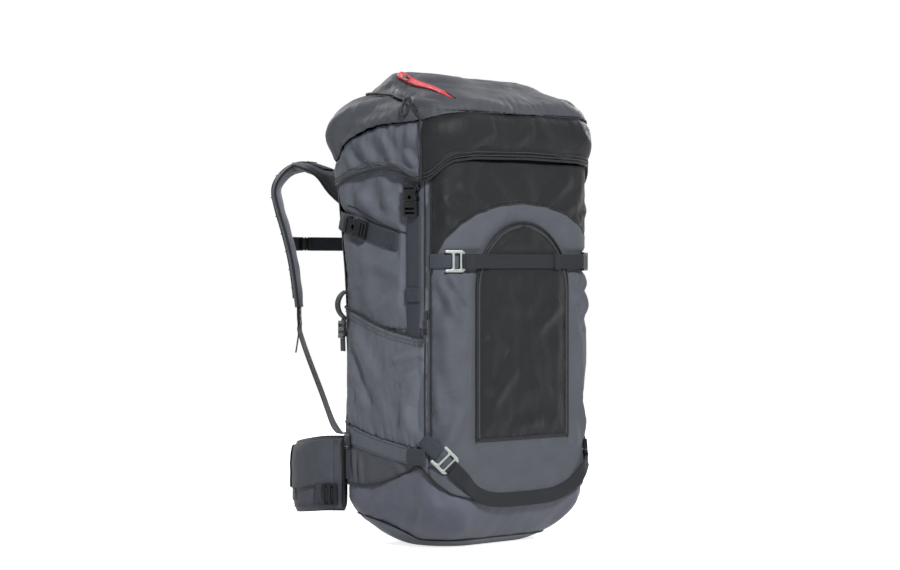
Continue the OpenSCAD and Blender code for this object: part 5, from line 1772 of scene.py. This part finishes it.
# Half of the cord's loop below the tab: distance down and across
PULL_LOOP = [(0, 0.3), (5, 1.6), (13, 2.6), (20, 1.5), (21.5, 0)]


def pull_cord(name, place, body):
    """A knotted cord loop that hangs from a slider's tab by its own weight."""
    hang = place.at(0, -8.6, 5.0)
    away = vec(0, 0, -1) + place.n * 0.13
    rows = PULL_LOOP + [(down, -across) for down, across in reversed(PULL_LOOP[:-1])]
    loop = spline([hang + away * down + place.u * across for down, across in rows], 60)
    piping(name + "_cord", loop, place.n, 0.95, "zip_coil", body)
    knot = spline([hang + away * t for t in (17.0, 19.5, 22.0, 24.5)], 12)
    swell = np.sin(np.linspace(0.5, math.pi - 0.5, 12))[:, None]
    sweep(name + "_knot", knot, place.n, round_section(2.2, 10), body, "zip_coil", scale=swell)


SLIDER_Z = 318.0
slider_at, slider_out = body(Q_ZIP, SLIDER_Z, 0.4)
for side, flip, seed in SIDES:
    at = Place(slider_at, UPRIGHT, slider_out).on(side)
    zip_slider(side + "_zip_slider", at, side + "_zip_slider", side + "_side_zip_slider")
    pull_cord(side + "_zip_pull", at, side + "_zip_slider")
line, line_outs = lid_zip_line(2.2, 90)
slider_low, slider_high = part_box("lid_zip_slider")
k = int(np.argmin(np.abs(line[:, 1] - (slider_low[1] + slider_high[1]) / 2 / MM)))
toward = line[k + 1] - line[k - 1]
at = Place(line[k], -toward if toward[1] > 0 else toward, line_outs[k])
zip_slider("lid_zip_slider", at, "lid_zip_slider", "lid_zip_slider")

# Gear rings on the hood

RING_H = 13.5
RING_W = 7.0
RING_Y = -58
RING_T = 3.05
turn = np.append(np.linspace(0, 2 * math.pi, 60, endpoint=False), 0)[:, None]
base, base_out = lid(q_side(RING_Y), RING_T, 6.0)
up = unit(vec(0, 0, 1) - base_out * base_out[2])
fore = vec(0, -1, 0)
path = base + up * RING_H * np.sin(turn) + fore * RING_W * np.cos(turn)
path = path + base_out * (1.2 + 1.6 * np.sin(turn))
tab = np.array([base + up * t + base_out * n for t, n in ((10, 3.6), (13, 4.6), (17, 2.8), (22, 0.6))])
for side, flip, seed in SIDES:
    node = first(side, "lid_gear_rings")
    hoop = round_section(1.9, 10)
    sweep(side + "_gear_ring", path * flip, base_out * flip, hoop, "lid", "black_webbing", PIPING, node)
    web(side + "_gear_tab", tab * flip, fore * flip, 12, "lid", t=1.5, count=12)

# Carried-over CAD nodes take the materials of their slots

for part in nodes.values():
    slot = part.data.materials[0].name.split(".")[0]
    part.data.materials.clear()
    part.data.materials.append(LOOKS[slot])

# Stage, light and camera. Rays that see the background see it near white, and the floor keeps shadows

FLOOR_HALF = 4000
FLOOR_GLOW = 0.8
AMBIENT = 0.15
WHITE = (1, 1, 1, 1)


def seen_as_background(tree, socket, low, high):
    """Set a socket to high for camera, glossy and transmission rays, else to low."""
    rays = tree.nodes.new("ShaderNodeLightPath")
    found = rays.outputs["Is Camera Ray"]
    for kind in ("Is Glossy Ray", "Is Transmission Ray"):
        either = tree.nodes.new("ShaderNodeMath")
        either.operation = "MAXIMUM"
        tree.links.new(found, either.inputs[0])
        tree.links.new(rays.outputs[kind], either.inputs[1])
        found = either.outputs[0]
    level = tree.nodes.new("ShaderNodeMapRange")
    level.inputs["To Min"].default_value = low
    level.inputs["To Max"].default_value = high
    tree.links.new(found, level.inputs["Value"])
    tree.links.new(level.outputs["Result"], socket)


floor_look = Look("pale_floor")
floor_look.fill(floor_look.shader, {
    "Base_Color": (0.9, 0.9, 0.9, 1), "Roughness": 0.9, "Specular_IOR_Level": 0.1, "Emission_Color": WHITE,
})
seen_as_background(floor_look.tree, floor_look.shader.inputs["Emission Strength"], 0, FLOOR_GLOW)
floor = bpy.data.meshes.new("floor")
corners = ((-1, -1), (1, -1), (1, 1), (-1, 1))
floor.from_pydata([(x * FLOOR_HALF * MM, y * FLOOR_HALF * MM, 0) for x, y in corners], [], [(0, 1, 2, 3)])
floor.materials.append(floor_look.mat)
floor_obj = bpy.data.objects.new("floor", floor)
scene = bpy.context.scene
scene.collection.objects.link(floor_obj)

scene.view_settings.view_transform = "Standard"
world = bpy.data.worlds.new("studio")
scene.world = world
world.use_nodes = True
sky = world.node_tree.nodes["Background"]
sky.inputs["Color"].default_value = WHITE
seen_as_background(world.node_tree, sky.inputs["Strength"], AMBIENT, 1.0)


def aimed(obj, place, target):
    """Put an object into the scene at a place, looking at a target."""
    obj.location = place
    obj.rotation_euler = (Vector(target) - Vector(place)).to_track_quat("-Z", "Y").to_euler()
    scene.collection.objects.link(obj)


# Lamps: place and target in metres, edge of the square light, watts
LAMPS = (
    ("key", (-1.1, -2.1, 1.9), (0, 0, 0.3), 0.35, 92),
    ("side", (2.6, 0.8, 1.5), (0, 0, 0.3), 1.2, 34),
    ("rim", (0.2, 2.7, 1.9), (0, 0.1, 0.4), 1.4, 44),
)
for name, place, target, size, watts in LAMPS:
    data = bpy.data.lights.new(name, "AREA")
    data.shape = "RECTANGLE"
    data.size = size
    data.size_y = size
    data.energy = watts
    aimed(bpy.data.objects.new(name, data), place, target)

# The camera stands off the front left corner, a little above the pack's middle
CAMERA_AWAY = 3.5
CAMERA_H = 0.385
AIM_H = 0.357
ASIDE = 0.0196
toward = Vector((-DIAGONAL, -DIAGONAL, 0))
aside = Vector((DIAGONAL, -DIAGONAL, 0)) * -ASIDE
cam_data = bpy.data.cameras.new("camera")
cam_data.lens = 100
cam_data.sensor_width = 36
camera = bpy.data.objects.new("camera", cam_data)
aimed(camera, toward * CAMERA_AWAY + aside + Vector((0, 0, CAMERA_H)), aside + Vector((0, 0, AIM_H)))
scene.camera = camera
